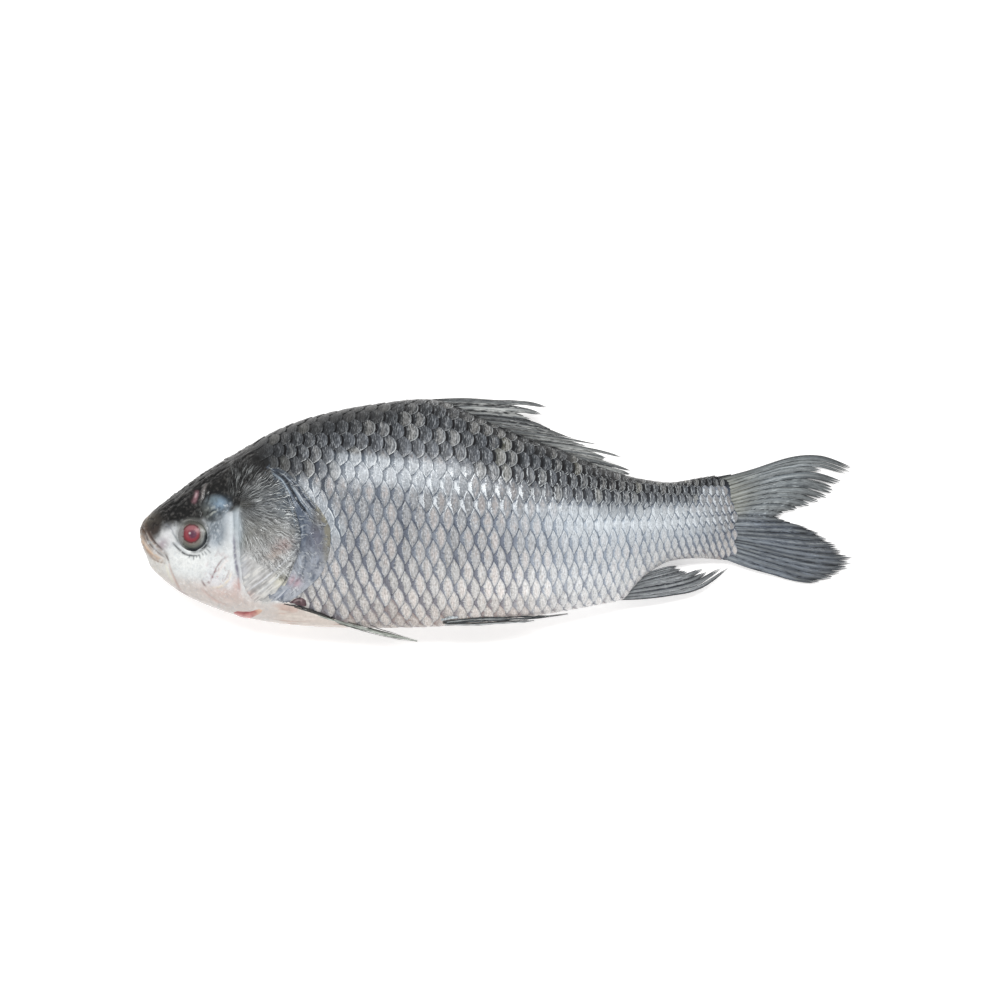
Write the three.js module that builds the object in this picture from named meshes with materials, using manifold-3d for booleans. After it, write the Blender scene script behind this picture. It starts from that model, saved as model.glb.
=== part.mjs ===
// A whole raw catla carp, lying on its right side as it does on a fishmonger's slab.
// Millimetres. +X from the snout to the tail, +Y towards the back, +Z up out of the left flank.
// The origin is under the middle of the fish, on the surface that it lies on.
// The fish is one solid: head, trunk, gill covers and fins. Each eyeball is a solid in its socket.

import * as THREE from 'three';
import { mergeVertices } from 'three/addons/utils/BufferGeometryUtils.js';
import Module from 'manifold-3d';

const wasm = await Module();
wasm.setup();

// ---------------------------------------------------------------- driving dimensions

const TOTAL_LENGTH = 480;
const BODY_DEPTH = 155;
const HALF_THICKNESS = 33;
const MID_PLANE_HEIGHT = 31.5;
const SECTION_FULLNESS = 2.15;
const EYE_RADIUS = 8.6;
const EYE_CLEARANCE = 0.35;
const FIN_THICKNESS = 1.8;
const GILL_COVER_LIFT = 1.6;
const GILL_COVER_BURIED = 4;
const MOUTH_SLIT_HEIGHT = 1.8;
const NOSTRIL_RADIUS = 2;

const SNOUT_X = -TOTAL_LENGTH / 2;

// ---------------------------------------------------------------- curves of the body

// A smooth curve through [position, value] stations that never overshoots them.
function throughStations(stations) {
  const x = stations.map((s) => s[0]);
  const y = stations.map((s) => s[1]);
  const last = x.length - 1;
  const slope = x.slice(1).map((right, i) => (y[i + 1] - y[i]) / (right - x[i]));
  const tangent = y.map((_, i) => {
    if (i === 0) return slope[0];
    if (i === last) return slope[last - 1];
    const [before, after] = [slope[i - 1], slope[i]];
    return before * after <= 0 ? 0 : (2 * before * after) / (before + after);
  });
  return (at) => {
    const p = THREE.MathUtils.clamp(at, x[0], x[last]);
    let i = 0;
    while (i < last - 1 && p > x[i + 1]) i += 1;
    const span = x[i + 1] - x[i];
    const t = (p - x[i]) / span;
    const rise = (y[i + 1] - y[i]) * t * t * (3 - 2 * t);
    const lean = t * (1 - t) * ((1 - t) * tangent[i] - t * tangent[i + 1]) * span;
    return y[i] + rise + lean;
  };
}

// Along the body, x is a share of the total length, from the snout at 0 to the tail tip at 1.
const alongBody = (share) => SNOUT_X + share * TOTAL_LENGTH;
const shareAt = (x) => (x - SNOUT_X) / TOTAL_LENGTH;

// Back and belly lines as shares of the greatest depth, above and below the fish's axis.
const backLine = throughStations([
  [0, -0.035], [0.004, -0.008], [0.011, 0.015], [0.021, 0.045], [0.042, 0.09], [0.087, 0.193],
  [0.132, 0.277], [0.177, 0.36], [0.222, 0.422], [0.289, 0.476], [0.357, 0.508], [0.4, 0.518],
  [0.425, 0.508], [0.478, 0.44], [0.534, 0.367], [0.59, 0.305], [0.646, 0.23], [0.702, 0.178],
  [0.745, 0.161], [0.787, 0.174], [0.836, 0.19],
]);
const bellyLine = throughStations([
  [0, -0.06], [0.003, -0.1], [0.008, -0.15], [0.014, -0.205], [0.035, -0.27], [0.063, -0.33],
  [0.098, -0.379], [0.14, -0.422], [0.183, -0.448], [0.239, -0.465], [0.309, -0.474],
  [0.38, -0.473], [0.435, -0.465], [0.505, -0.444], [0.576, -0.413], [0.646, -0.375],
  [0.677, -0.355], [0.702, -0.274], [0.723, -0.222], [0.751, -0.183], [0.787, -0.174],
  [0.836, -0.187],
]);
// Half the thickness, as a share of the greatest.
const halfThickness = throughStations([
  [0, 0.06], [0.004, 0.16], [0.012, 0.25], [0.042, 0.42], [0.087, 0.6], [0.132, 0.76],
  [0.187, 0.89], [0.25, 0.96], [0.32, 1], [0.4, 0.99], [0.5, 0.92], [0.583, 0.8], [0.646, 0.68],
  [0.702, 0.53], [0.75, 0.41], [0.79, 0.31], [0.82, 0.2], [0.836, 0.09],
]);
// The mid-plane droops from the stiff trunk to the limp tail, which touches the slab.
const midPlane = throughStations([
  [0, 0.87], [0.1, 0.94], [0.25, 1], [0.44, 1], [0.5, 0.965], [0.583, 0.845], [0.646, 0.725],
  [0.702, 0.57], [0.75, 0.44], [0.79, 0.345], [0.836, 0.215], [0.92, 0.085], [1, 0.035],
]);

const BODY_END_SHARE = 0.836;

// A point of the skin: girth runs from 0 at the belly over the left flank to 1 at the back, and on
// over the right flank to 2. Lift is how far outside the skin the point lies.
function skinPoint(x, girth, lift = 0) {
  const share = shareAt(x);
  const back = backLine(share) * BODY_DEPTH;
  const belly = bellyLine(share) * BODY_DEPTH;
  const centre = (back + belly) / 2;
  const halfDepth = (back - belly) / 2 + lift;
  const half = halfThickness(share) * HALF_THICKNESS + lift;
  const power = 2 / SECTION_FULLNESS;
  const c = Math.cos(girth * Math.PI);
  const s = Math.sin(girth * Math.PI);
  const y = centre - halfDepth * Math.sign(c) * Math.abs(c) ** power;
  const z = midPlane(share) * MID_PLANE_HEIGHT + half * Math.sign(s) * Math.abs(s) ** power;
  return new THREE.Vector3(x, y, Math.max(z, 0));
}

// ---------------------------------------------------------------- solids

function solidOf(positions, triangles) {
  const geometry = new THREE.BufferGeometry();
  geometry.setAttribute('position', new THREE.Float32BufferAttribute(positions, 3));
  geometry.setIndex(triangles);
  return manifoldOf(geometry);
}

function manifoldOf(geometry) {
  const bare = geometry.clone();
  bare.deleteAttribute('normal');
  bare.deleteAttribute('uv');
  const merged = mergeVertices(bare, 1e-4);
  return new wasm.Manifold(new wasm.Mesh({
    numProp: 3,
    vertProperties: merged.attributes.position.array,
    triVerts: new Uint32Array(merged.index.array),
  }));
}

function geometryOf(manifold) {
  const mesh = manifold.getMesh();
  const geometry = new THREE.BufferGeometry();
  geometry.setAttribute('position', new THREE.BufferAttribute(mesh.vertProperties, 3));
  geometry.setIndex(new THREE.BufferAttribute(mesh.triVerts, 1));
  geometry.computeVertexNormals();
  return geometry;
}

// A closed plate over a grid: upper(column, row) and lower(column, row) give its two faces.
function plate(columns, rows, upper, lower) {
  const positions = [];
  const triangles = [];
  const perFace = (columns + 1) * (rows + 1);
  const at = (face, column, row) => face * perFace + column * (rows + 1) + row;
  [upper, lower].forEach((face) => {
    for (let column = 0; column <= columns; column += 1) {
      for (let row = 0; row <= rows; row += 1) positions.push(...face(column, row).toArray());
    }
  });
  const quad = (a, b, c, d) => triangles.push(a, b, c, a, c, d);
  for (let column = 0; column < columns; column += 1) {
    for (let row = 0; row < rows; row += 1) {
      quad(at(0, column, row), at(0, column, row + 1), at(0, column + 1, row + 1), at(0, column + 1, row));
      quad(at(1, column, row), at(1, column + 1, row), at(1, column + 1, row + 1), at(1, column, row + 1));
    }
  }
  for (let column = 0; column < columns; column += 1) {
    quad(at(0, column, 0), at(0, column + 1, 0), at(1, column + 1, 0), at(1, column, 0));
    quad(at(0, column + 1, rows), at(0, column, rows), at(1, column, rows), at(1, column + 1, rows));
  }
  for (let row = 0; row < rows; row += 1) {
    quad(at(0, 0, row + 1), at(0, 0, row), at(1, 0, row), at(1, 0, row + 1));
    quad(at(0, columns, row), at(0, columns, row + 1), at(1, columns, row + 1), at(1, columns, row));
  }
  const solid = solidOf(positions, triangles);
  return solid.volume() < 0 ? solidOf(positions, triangles.reverse()) : solid;
}

// ---------------------------------------------------------------- head and trunk

const TRUNK_STATIONS = 42;
const TRUNK_GIRTH_STEPS = 28;
// Stations crowd towards the snout, where the outline turns fastest.
const STATION_CROWDING = 1.35;

function trunk() {
  const positions = [];
  const triangles = [];
  for (let i = 0; i <= TRUNK_STATIONS; i += 1) {
    const share = BODY_END_SHARE * (i / TRUNK_STATIONS) ** STATION_CROWDING;
    for (let j = 0; j < TRUNK_GIRTH_STEPS; j += 1) {
      positions.push(...skinPoint(alongBody(share), (2 * j) / TRUNK_GIRTH_STEPS).toArray());
    }
  }
  const at = (i, j) => i * TRUNK_GIRTH_STEPS + (j % TRUNK_GIRTH_STEPS);
  for (let i = 0; i < TRUNK_STATIONS; i += 1) {
    for (let j = 0; j < TRUNK_GIRTH_STEPS; j += 1) {
      triangles.push(at(i, j), at(i + 1, j), at(i + 1, j + 1));
      triangles.push(at(i, j), at(i + 1, j + 1), at(i, j + 1));
    }
  }
  for (let j = 1; j < TRUNK_GIRTH_STEPS - 1; j += 1) {
    triangles.push(at(0, 0), at(0, j), at(0, j + 1));
    triangles.push(at(TRUNK_STATIONS, 0), at(TRUNK_STATIONS, j + 1), at(TRUNK_STATIONS, j));
  }
  const solid = solidOf(positions, triangles);
  return solid.volume() < 0 ? solidOf(positions, triangles.reverse()) : solid;
}

// ---------------------------------------------------------------- gill covers

// The bony flap over the gills, proud of the trunk, with its free rounded edge towards the tail.
const gillFrontEdge = throughStations([[0.1, 0.2], [0.45, 0.135], [0.8, 0.15]]);
const gillRearEdge = throughStations([
  [0.1, 0.19], [0.2, 0.222], [0.33, 0.25], [0.48, 0.265], [0.6, 0.258], [0.72, 0.225], [0.8, 0.17],
]);
const GILL_GIRTH = [0.1, 0.8];
const GILL_COLUMNS = 9;
const GILL_ROWS = 10;

function gillCover(side) {
  const onSkin = (column, row, lift) => {
    const girth = THREE.MathUtils.lerp(...GILL_GIRTH, row / GILL_ROWS);
    const share = THREE.MathUtils.lerp(gillFrontEdge(girth), gillRearEdge(girth), column / GILL_COLUMNS);
    return skinPoint(alongBody(share), side > 0 ? girth : 2 - girth, lift);
  };
  // The flap rises from nothing at its front to its full lift at its free edge.
  const rise = (column, row) => {
    const rim = Math.sin((Math.PI * row) / GILL_ROWS) ** 0.5;
    return GILL_COVER_LIFT * Math.sqrt(column / GILL_COLUMNS) * rim;
  };
  return plate(
    GILL_COLUMNS,
    GILL_ROWS,
    (column, row) => onSkin(column, row, rise(column, row)),
    (column, row) => onSkin(column, row, -GILL_COVER_BURIED),
  );
}

// ---------------------------------------------------------------- fins

// A fin is a web stiffened by rays. Each ray is a ridge, and between two rays the web ends short
// of their tips, so that the edge is frayed into strips.
const RAY_COLUMNS = [0.14, 0.86, 1];
const RAY_THICKNESS = [1, 1, 0.5];
const FIN_ROWS = 5;
// Towards its tip a ray draws in from its neighbours, and it thins.
const FRAYED_TAPER = 0.45;
const TIP_THINNING = 0.6;
// How far the web reaches along its rays, where no deep split is given.
const TAIL_WEB_REACH = 0.93;
const DORSAL_WEB_REACH = 0.9;
const ANAL_WEB_REACH = 0.88;
const FOLDED_WEB_REACH = 0.86;

function fin({ rays, root, tip, bow, split, across, thickness = FIN_THICKNESS }) {
  const columns = [];
  for (let ray = 0; ray < rays; ray += 1) {
    RAY_COLUMNS.forEach((place, k) => {
      const web = k === RAY_COLUMNS.length - 1;
      if (web && ray === rays - 1) return;
      columns.push({
        middle: (ray + 0.5) / rays,
        offset: web ? 0.5 / rays : (place - 0.5) / rays,
        reach: web ? split(ray) : 1,
        thickness: thickness * RAY_THICKNESS[k],
      });
    });
  }
  const point = (column, row, side) => {
    const { middle, offset, reach, thickness: full } = columns[column];
    const v = (row / FIN_ROWS) * reach;
    const u = middle + offset * (1 - FRAYED_TAPER * v * v);
    const at = root(u).lerp(tip(u), v).addScaledVector(bow(u), Math.sin(Math.PI * v));
    const thinned = full * (1 - TIP_THINNING * v);
    return at.addScaledVector(across, (side * thinned) / 2);
  };
  return plate(
    columns.length - 1,
    FIN_ROWS,
    (column, row) => point(column, row, 1),
    (column, row) => point(column, row, -1),
  );
}

// A place in the fish's mid-plane: share along the body, height as a share of the body's depth.
function inMidPlane(share, height) {
  return new THREE.Vector3(alongBody(share), height * BODY_DEPTH, midPlane(share) * MID_PLANE_HEIGHT);
}

const UP = new THREE.Vector3(0, 0, 1);

// A spread of shares and heights, each a curve over the rays from first to last.
function spread(shares, heights, drop = () => 0) {
  const share = throughStations(shares);
  const height = throughStations(heights);
  return (u) => inMidPlane(share(u), height(u)).add(new THREE.Vector3(0, 0, -drop(u)));
}

function tailFin() {
  const deepSplits = new Map([[1, 0.72], [2, 0.7], [4, 0.66], [5, 0.7], [6, 0.62], [16, 0.78], [17, 0.82]]);
  return fin({
    rays: 19,
    root: spread(
      [[0, 0.815], [0.2, 0.822], [0.5, 0.83], [0.8, 0.828], [1, 0.815]],
      [[0, 0.17], [0.5, 0], [1, -0.17]],
    ),
    tip: spread(
      [[0, 0.994], [0.04, 0.998], [0.12, 0.99], [0.2, 0.972], [0.28, 0.95], [0.36, 0.925], [0.44, 0.9],
        [0.5, 0.892], [0.56, 0.91], [0.66, 0.945], [0.74, 0.975], [0.84, 1], [0.9, 0.998], [1, 0.945]],
      [[0, 0.242], [0.12, 0.195], [0.28, 0.12], [0.44, 0.035], [0.5, 0.01], [0.56, -0.02],
        [0.66, -0.07], [0.84, -0.172], [0.9, -0.215], [1, -0.28]],
    ),
    bow: (u) => new THREE.Vector3(0, u < 0.5 ? 21 * (0.5 - u) : 4 * (0.5 - u), 0),
    split: (ray) => deepSplits.get(ray) ?? TAIL_WEB_REACH,
    across: UP,
  });
}

function dorsalFin() {
  const deepSplits = new Map([[1, 0.62], [3, 0.6], [9, 0.55], [12, 0.6]]);
  const rootShare = throughStations([[0, 0.404], [1, 0.672]]);
  return fin({
    rays: 14,
    root: (u) => inMidPlane(rootShare(u), backLine(rootShare(u)) - 0.02),
    tip: spread(
      [[0, 0.569], [0.12, 0.56], [0.25, 0.575], [0.4, 0.615], [0.55, 0.65], [0.7, 0.67], [0.85, 0.682],
        [1, 0.695]],
      [[0, 0.505], [0.12, 0.47], [0.25, 0.41], [0.4, 0.34], [0.55, 0.312], [0.7, 0.265], [0.85, 0.235],
        [1, 0.19]],
      () => 5,
    ),
    bow: (u) => new THREE.Vector3(0, 5 * (1 - u), 1),
    split: (ray) => deepSplits.get(ray) ?? DORSAL_WEB_REACH,
    across: UP,
  });
}

function analFin() {
  const deepSplits = new Map([[0, 0.62], [2, 0.74], [4, 0.7]]);
  const rootShare = throughStations([[0, 0.675], [1, 0.722]]);
  return fin({
    rays: 8,
    root: (u) => inMidPlane(rootShare(u), bellyLine(rootShare(u)) + 0.02),
    tip: spread(
      [[0, 0.832], [0.2, 0.81], [0.5, 0.787], [0.8, 0.757], [1, 0.745]],
      [[0, -0.207], [0.3, -0.215], [0.6, -0.21], [1, -0.2]],
      () => 3,
    ),
    bow: (u) => new THREE.Vector3(0, -12 * (1 - u), 0),
    split: (ray) => deepSplits.get(ray) ?? ANAL_WEB_REACH,
    across: UP,
  });
}

// Pectoral and pelvic fins come in pairs, folded like shut fans against the belly.
// A folded fin is a bundle of stacked rays, given by its root, its tip and its width.
const FOLDED_RAYS = 3;
const FOLDED_THICKNESS = 2.4;
const FOLDED_ROOT_WIDTH = 0.7;
const SHORTEST_RAY = 0.72;

function foldedFin({ root, tip, width, bow }) {
  const beside = new THREE.Vector3(0, -1, 0);
  return fin({
    rays: FOLDED_RAYS,
    root: (u) => root.clone().addScaledVector(beside, width * FOLDED_ROOT_WIDTH * (u - 0.5)),
    tip: (u) => root.clone()
      .lerp(tip, THREE.MathUtils.lerp(SHORTEST_RAY, 1, u))
      .addScaledVector(beside, width * (u - 0.5)),
    bow: () => bow,
    split: () => FOLDED_WEB_REACH,
    across: UP,
    thickness: FOLDED_THICKNESS,
  });
}

const PECTORAL_SHARE = 0.212;
const PECTORAL_GIRTH = 0.21;
const PECTORAL_SINK = 2.5;
const PECTORAL_WIDTH = 5.5;

// The upper one lies along the belly's edge, and the lower one is pressed on the slab.
function pectoralFin(side) {
  const girth = side > 0 ? PECTORAL_GIRTH : 2 - PECTORAL_GIRTH;
  const root = skinPoint(alongBody(PECTORAL_SHARE), girth, -PECTORAL_SINK);
  const tip = side > 0
    ? new THREE.Vector3(alongBody(0.386), -0.521 * BODY_DEPTH, 27)
    : new THREE.Vector3(alongBody(0.37), -0.44 * BODY_DEPTH, 3);
  const bow = new THREE.Vector3(0, -2.5, side > 0 ? 6 : -2);
  return foldedFin({ root, tip, width: PECTORAL_WIDTH, bow });
}

const PELVIC_SHARE = 0.43;
const PELVIC_TIP_SHARE = 0.6;
const PELVIC_TIP_HEIGHT = -0.402;
const PELVIC_TIP_DROP = 8;
const PELVIC_ROOT_APART = 9;
const PELVIC_TIP_APART = 7;
const PELVIC_WIDTH = 6;

function pelvicFin(side) {
  const root = new THREE.Vector3(
    alongBody(PELVIC_SHARE),
    (bellyLine(PELVIC_SHARE) + 0.02) * BODY_DEPTH,
    MID_PLANE_HEIGHT + side * PELVIC_ROOT_APART,
  );
  const tip = new THREE.Vector3(
    alongBody(PELVIC_TIP_SHARE),
    PELVIC_TIP_HEIGHT * BODY_DEPTH,
    MID_PLANE_HEIGHT - PELVIC_TIP_DROP + side * PELVIC_TIP_APART,
  );
  return foldedFin({ root, tip, width: PELVIC_WIDTH, bow: new THREE.Vector3(0, -4, 0) });
}

// ---------------------------------------------------------------- mouth and eyes

const MOUTH_STEPS = 8;
const MOUTH_CLOSING = 0.8;
// The way across the slit, which slants down and back.
const MOUTH_ACROSS = new THREE.Vector3(0.7, 0.35, 0);

// The shut mouth is a narrow slit that slants down from the tip of the snout, right through the lips.
function mouthSlit() {
  const line = new THREE.CatmullRomCurve3([
    new THREE.Vector3(alongBody(-0.01), -0.03 * BODY_DEPTH, 0),
    new THREE.Vector3(alongBody(0.006), -0.062 * BODY_DEPTH, 0),
    new THREE.Vector3(alongBody(0.022), -0.115 * BODY_DEPTH, 0),
    new THREE.Vector3(alongBody(0.038), -0.165 * BODY_DEPTH, 0),
  ]);
  const point = (column, row, side) => {
    const t = column / MOUTH_STEPS;
    const gap = MOUTH_SLIT_HEIGHT * (1 - MOUTH_CLOSING * t);
    const at = line.getPoint(t).addScaledVector(MOUTH_ACROSS, side * gap);
    return at.setZ(row === 0 ? -1 : 2 * MID_PLANE_HEIGHT);
  };
  return plate(MOUTH_STEPS, 1, (c, r) => point(c, r, 0.5), (c, r) => point(c, r, -0.5));
}

const EYE_SHARE = 0.074;
const EYE_HEIGHT = -0.07;
const EYE_SINK = 5.2;

// The skin under a place in the side view. Its girth is worked out from its height.
function onFlank(share, height, side, lift) {
  const centre = (backLine(share) + bellyLine(share)) / 2;
  const halfDepth = (backLine(share) - bellyLine(share)) / 2;
  const cosine = Math.abs((height - centre) / halfDepth) ** (SECTION_FULLNESS / 2);
  const girth = Math.acos(-Math.sign(height - centre) * cosine) / Math.PI;
  return skinPoint(alongBody(share), side > 0 ? girth : 2 - girth, lift);
}

function eyeball(side, extra = 0) {
  const { x, y, z } = onFlank(EYE_SHARE, EYE_HEIGHT, side, -EYE_SINK);
  const ball = new THREE.SphereGeometry(EYE_RADIUS + extra, 18, 12);
  ball.rotateX(Math.PI / 2);
  return manifoldOf(ball.translate(x, y, z));
}

const NOSTRIL_SHARE = 0.079;
const NOSTRIL_HEIGHT = 0.1;

function nostril(side) {
  const { x, y, z } = onFlank(NOSTRIL_SHARE, NOSTRIL_HEIGHT, side, 0);
  return manifoldOf(new THREE.SphereGeometry(NOSTRIL_RADIUS, 8, 6).translate(x, y, z));
}

// ---------------------------------------------------------------- the fish

const fins = [
  tailFin(), dorsalFin(), analFin(), pectoralFin(1), pectoralFin(-1), pelvicFin(1), pelvicFin(-1),
];
let fishSolid = trunk().add(gillCover(1)).add(gillCover(-1));
fins.forEach((one) => { fishSolid = fishSolid.add(one); });
fishSolid = fishSolid.subtract(mouthSlit());
[1, -1].forEach((side) => {
  fishSolid = fishSolid.subtract(eyeball(side, EYE_CLEARANCE)).subtract(nostril(side));
});

const skinMaterial = new THREE.MeshStandardMaterial({ color: 0x8d939b, roughness: 0.3, metalness: 0.1 });
const eyeMaterial = new THREE.MeshStandardMaterial({ color: 0xa23b42, roughness: 0.12, metalness: 0 });

function node(name, geometry, material) {
  const mesh = new THREE.Mesh(geometry, material);
  mesh.name = name;
  return mesh;
}

const fish = new THREE.Group();
fish.add(node('fish', geometryOf(fishSolid), skinMaterial));
fish.add(node('eye_left', geometryOf(eyeball(1)), eyeMaterial));
fish.add(node('eye_right', geometryOf(eyeball(-1)), eyeMaterial));

export default fish;
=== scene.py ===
import math

import bmesh
import bpy
import numpy as np
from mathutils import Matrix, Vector


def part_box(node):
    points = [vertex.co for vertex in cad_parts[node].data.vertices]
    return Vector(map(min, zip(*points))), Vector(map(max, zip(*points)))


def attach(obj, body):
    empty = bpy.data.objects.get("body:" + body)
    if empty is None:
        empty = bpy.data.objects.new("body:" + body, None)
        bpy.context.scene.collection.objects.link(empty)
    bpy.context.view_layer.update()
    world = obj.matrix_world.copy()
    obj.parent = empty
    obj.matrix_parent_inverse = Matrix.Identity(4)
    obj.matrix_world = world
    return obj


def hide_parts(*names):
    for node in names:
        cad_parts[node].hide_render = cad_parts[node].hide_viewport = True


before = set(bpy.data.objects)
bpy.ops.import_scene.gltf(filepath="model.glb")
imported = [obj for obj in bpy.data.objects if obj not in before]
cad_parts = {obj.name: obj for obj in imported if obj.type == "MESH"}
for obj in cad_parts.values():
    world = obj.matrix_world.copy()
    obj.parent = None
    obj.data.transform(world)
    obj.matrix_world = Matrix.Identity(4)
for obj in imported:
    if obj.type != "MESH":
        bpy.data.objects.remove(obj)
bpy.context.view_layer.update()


# ------------------------------------------------------------------ slab and studio light
# The fish lies on a white light table in a pale room, under one long softbox towards its back and
# a weaker, broader one towards its belly. The camera hangs straight above it on a long lens.

LOW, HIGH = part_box("fish")
LENGTH = HIGH.x - LOW.x

CAMERA_LENS = 110.0
SENSOR_WIDTH = 36.0
VIEW_WIDTH = 1.405 * LENGTH
VIEW_CENTRE = Vector((0.0027, 0.0128, 0.03))
CAMERA_HEIGHT = VIEW_WIDTH * CAMERA_LENS / SENSOR_WIDTH
SOFTBOX_SIZE = (1.1, 0.3)
SOFTBOX_PLACE = Vector((-0.05, 0.5, 1.42))
SOFTBOX_WATTS = 17.0
FILL_SIZE = (1.6, 1.2)
FILL_PLACE = Vector((0.0, -0.9, 1.3))
FILL_WATTS = 7.0
ROOM_LIGHT = 0.36
ROOM_COLOUR = (1, 1, 1, 1)
SLAB_HALF_SIDE = 6.0
SLAB_COLOUR = (0.93, 0.925, 0.92, 1.0)
SLAB_ROUGHNESS = 0.6
SLAB_SHINE = 0.1
SLAB_GLOW = 0.39
SLAB_GLOW_COLOUR = (1.0, 0.985, 0.98, 1.0)

camera_data = bpy.data.cameras.new("camera")
camera_data.lens = CAMERA_LENS
camera_data.sensor_width = SENSOR_WIDTH
camera = bpy.data.objects.new("camera", camera_data)
camera.location = VIEW_CENTRE + Vector((0, 0, CAMERA_HEIGHT))
bpy.context.scene.collection.objects.link(camera)
bpy.context.scene.camera = camera


def softbox(name, place, size, watts, aim):
    light = bpy.data.lights.new(name, "AREA")
    light.shape = "RECTANGLE"
    light.size, light.size_y = size
    light.energy = watts
    lamp = bpy.data.objects.new(name, light)
    lamp.location = place
    lamp.rotation_euler = (aim - place).to_track_quat("-Z", "Y").to_euler()
    lamp.visible_camera = False
    bpy.context.scene.collection.objects.link(lamp)


softbox("softbox", SOFTBOX_PLACE, SOFTBOX_SIZE, SOFTBOX_WATTS, VIEW_CENTRE)
softbox("fill", FILL_PLACE, FILL_SIZE, FILL_WATTS, VIEW_CENTRE)

room = bpy.data.worlds.new("room")
room.use_nodes = True
room.node_tree.nodes["Background"].inputs["Strength"].default_value = ROOM_LIGHT
room.node_tree.nodes["Background"].inputs["Color"].default_value = ROOM_COLOUR
bpy.context.scene.world = room
bpy.context.scene.view_settings.view_transform = "Standard"

slab_mesh = bmesh.new()
bmesh.ops.create_grid(slab_mesh, x_segments=1, y_segments=1, size=SLAB_HALF_SIDE)
slab_data = bpy.data.meshes.new("slab")
slab_mesh.to_mesh(slab_data)
slab_mesh.free()
slab = bpy.data.objects.new("slab", slab_data)
bpy.context.scene.collection.objects.link(slab)
slab_finish = bpy.data.materials.new("slab")
slab_finish.use_nodes = True
slab_shader = slab_finish.node_tree.nodes["Principled BSDF"]
slab_shader.inputs["Base Color"].default_value = SLAB_COLOUR
slab_shader.inputs["Roughness"].default_value = SLAB_ROUGHNESS
slab_shader.inputs["Specular IOR Level"].default_value = SLAB_SHINE
slab_shader.inputs["Emission Color"].default_value = SLAB_GLOW_COLOUR
slab_shader.inputs["Emission Strength"].default_value = SLAB_GLOW
slab_data.materials.append(slab_finish)


# ------------------------------------------------------------------ trunk under the scales
# The trunk's flesh, closed by dark, slippery skin, as one closed sleeve. Every scale grows out of
# a pocket in it, so it shows only at the roots of the fins and where the scales end.

SNOUT_X = LOW.x
BODY_DEPTH = 0.155
HALF_THICKNESS = 0.033
MID_PLANE_HEIGHT = 0.0315
SECTION_FULLNESS = 2.15
SCALE_BED = 0.0013
TRUNK_START = 0.17
TRUNK_END = 0.834
TRUNK_COLUMNS = 110
TRUNK_ROWS = 96
# What sags lower than this is pressed flat by the slab.
PRESSED_BELOW = 0.0012
# Points closer than this are sewn into one.
SEWN_WITHIN = 1e-6
# Edges sharper than this stay sharp.
CREASE = math.radians(50)


def curve_through(stations):
    """A smooth curve through stations that never overshoots them, for arrays of places."""
    x, y = np.array(stations, float).T
    slope = np.diff(y) / np.diff(x)
    before, after = slope[:-1], slope[1:]
    turns = before * after <= 0
    inner = np.where(turns, 0, 2 * before * after / np.where(turns, 1, before + after))
    tangent = np.concatenate([slope[:1], inner, slope[-1:]])

    def at(place):
        place = np.clip(place, x[0], x[-1])
        i = np.clip(np.searchsorted(x, place) - 1, 0, len(x) - 2)
        span = x[i + 1] - x[i]
        t = (place - x[i]) / span
        rise = (y[i + 1] - y[i]) * t * t * (3 - 2 * t)
        lean = t * (1 - t) * ((1 - t) * tangent[i] - t * tangent[i + 1]) * span
        return y[i] + rise + lean

    return at


# Stations are shares of the length, and heights are shares of the greatest depth.
back_line = curve_through([
    (0, -0.035), (0.004, -0.008), (0.011, 0.015), (0.021, 0.045), (0.042, 0.093), (0.087, 0.197),
    (0.132, 0.281), (0.177, 0.364), (0.222, 0.426), (0.289, 0.48), (0.357, 0.512), (0.4, 0.523),
    (0.425, 0.513), (0.478, 0.442), (0.534, 0.367), (0.59, 0.305), (0.646, 0.23), (0.702, 0.178),
    (0.745, 0.161), (0.787, 0.18), (0.836, 0.206),
])
belly_line = curve_through([
    (0, -0.06), (0.003, -0.1), (0.008, -0.15), (0.014, -0.205), (0.035, -0.27), (0.063, -0.33),
    (0.098, -0.379), (0.14, -0.422), (0.183, -0.448), (0.239, -0.465), (0.309, -0.474),
    (0.38, -0.473), (0.435, -0.465), (0.505, -0.444), (0.576, -0.413), (0.646, -0.375),
    (0.677, -0.355), (0.702, -0.274), (0.723, -0.222), (0.751, -0.183), (0.787, -0.174),
    (0.836, -0.187),
])
half_thickness = curve_through([
    (0, 0.06), (0.004, 0.16), (0.012, 0.25), (0.042, 0.42), (0.087, 0.6), (0.132, 0.76),
    (0.187, 0.89), (0.25, 0.96), (0.32, 1), (0.4, 0.99), (0.5, 0.92), (0.583, 0.8),
    (0.646, 0.68), (0.702, 0.53), (0.75, 0.41), (0.79, 0.31), (0.82, 0.2), (0.836, 0.09),
])
mid_plane = curve_through([
    (0, 0.87), (0.1, 0.94), (0.25, 1), (0.44, 1), (0.5, 0.965), (0.583, 0.845), (0.646, 0.725),
    (0.702, 0.57), (0.75, 0.44), (0.79, 0.345), (0.836, 0.215), (0.92, 0.085), (1, 0.035),
])


def share_at(x):
    """The share of the fish's length that lies before x."""
    return (x - SNOUT_X) / LENGTH


def edges_at(share):
    """How far above the fish's axis the edges of its back and its belly lie."""
    return back_line(share) * BODY_DEPTH, belly_line(share) * BODY_DEPTH


def middle_at(share):
    """How high above the slab the plane between the fish's two sides lies."""
    return mid_plane(share) * MID_PLANE_HEIGHT


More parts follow.
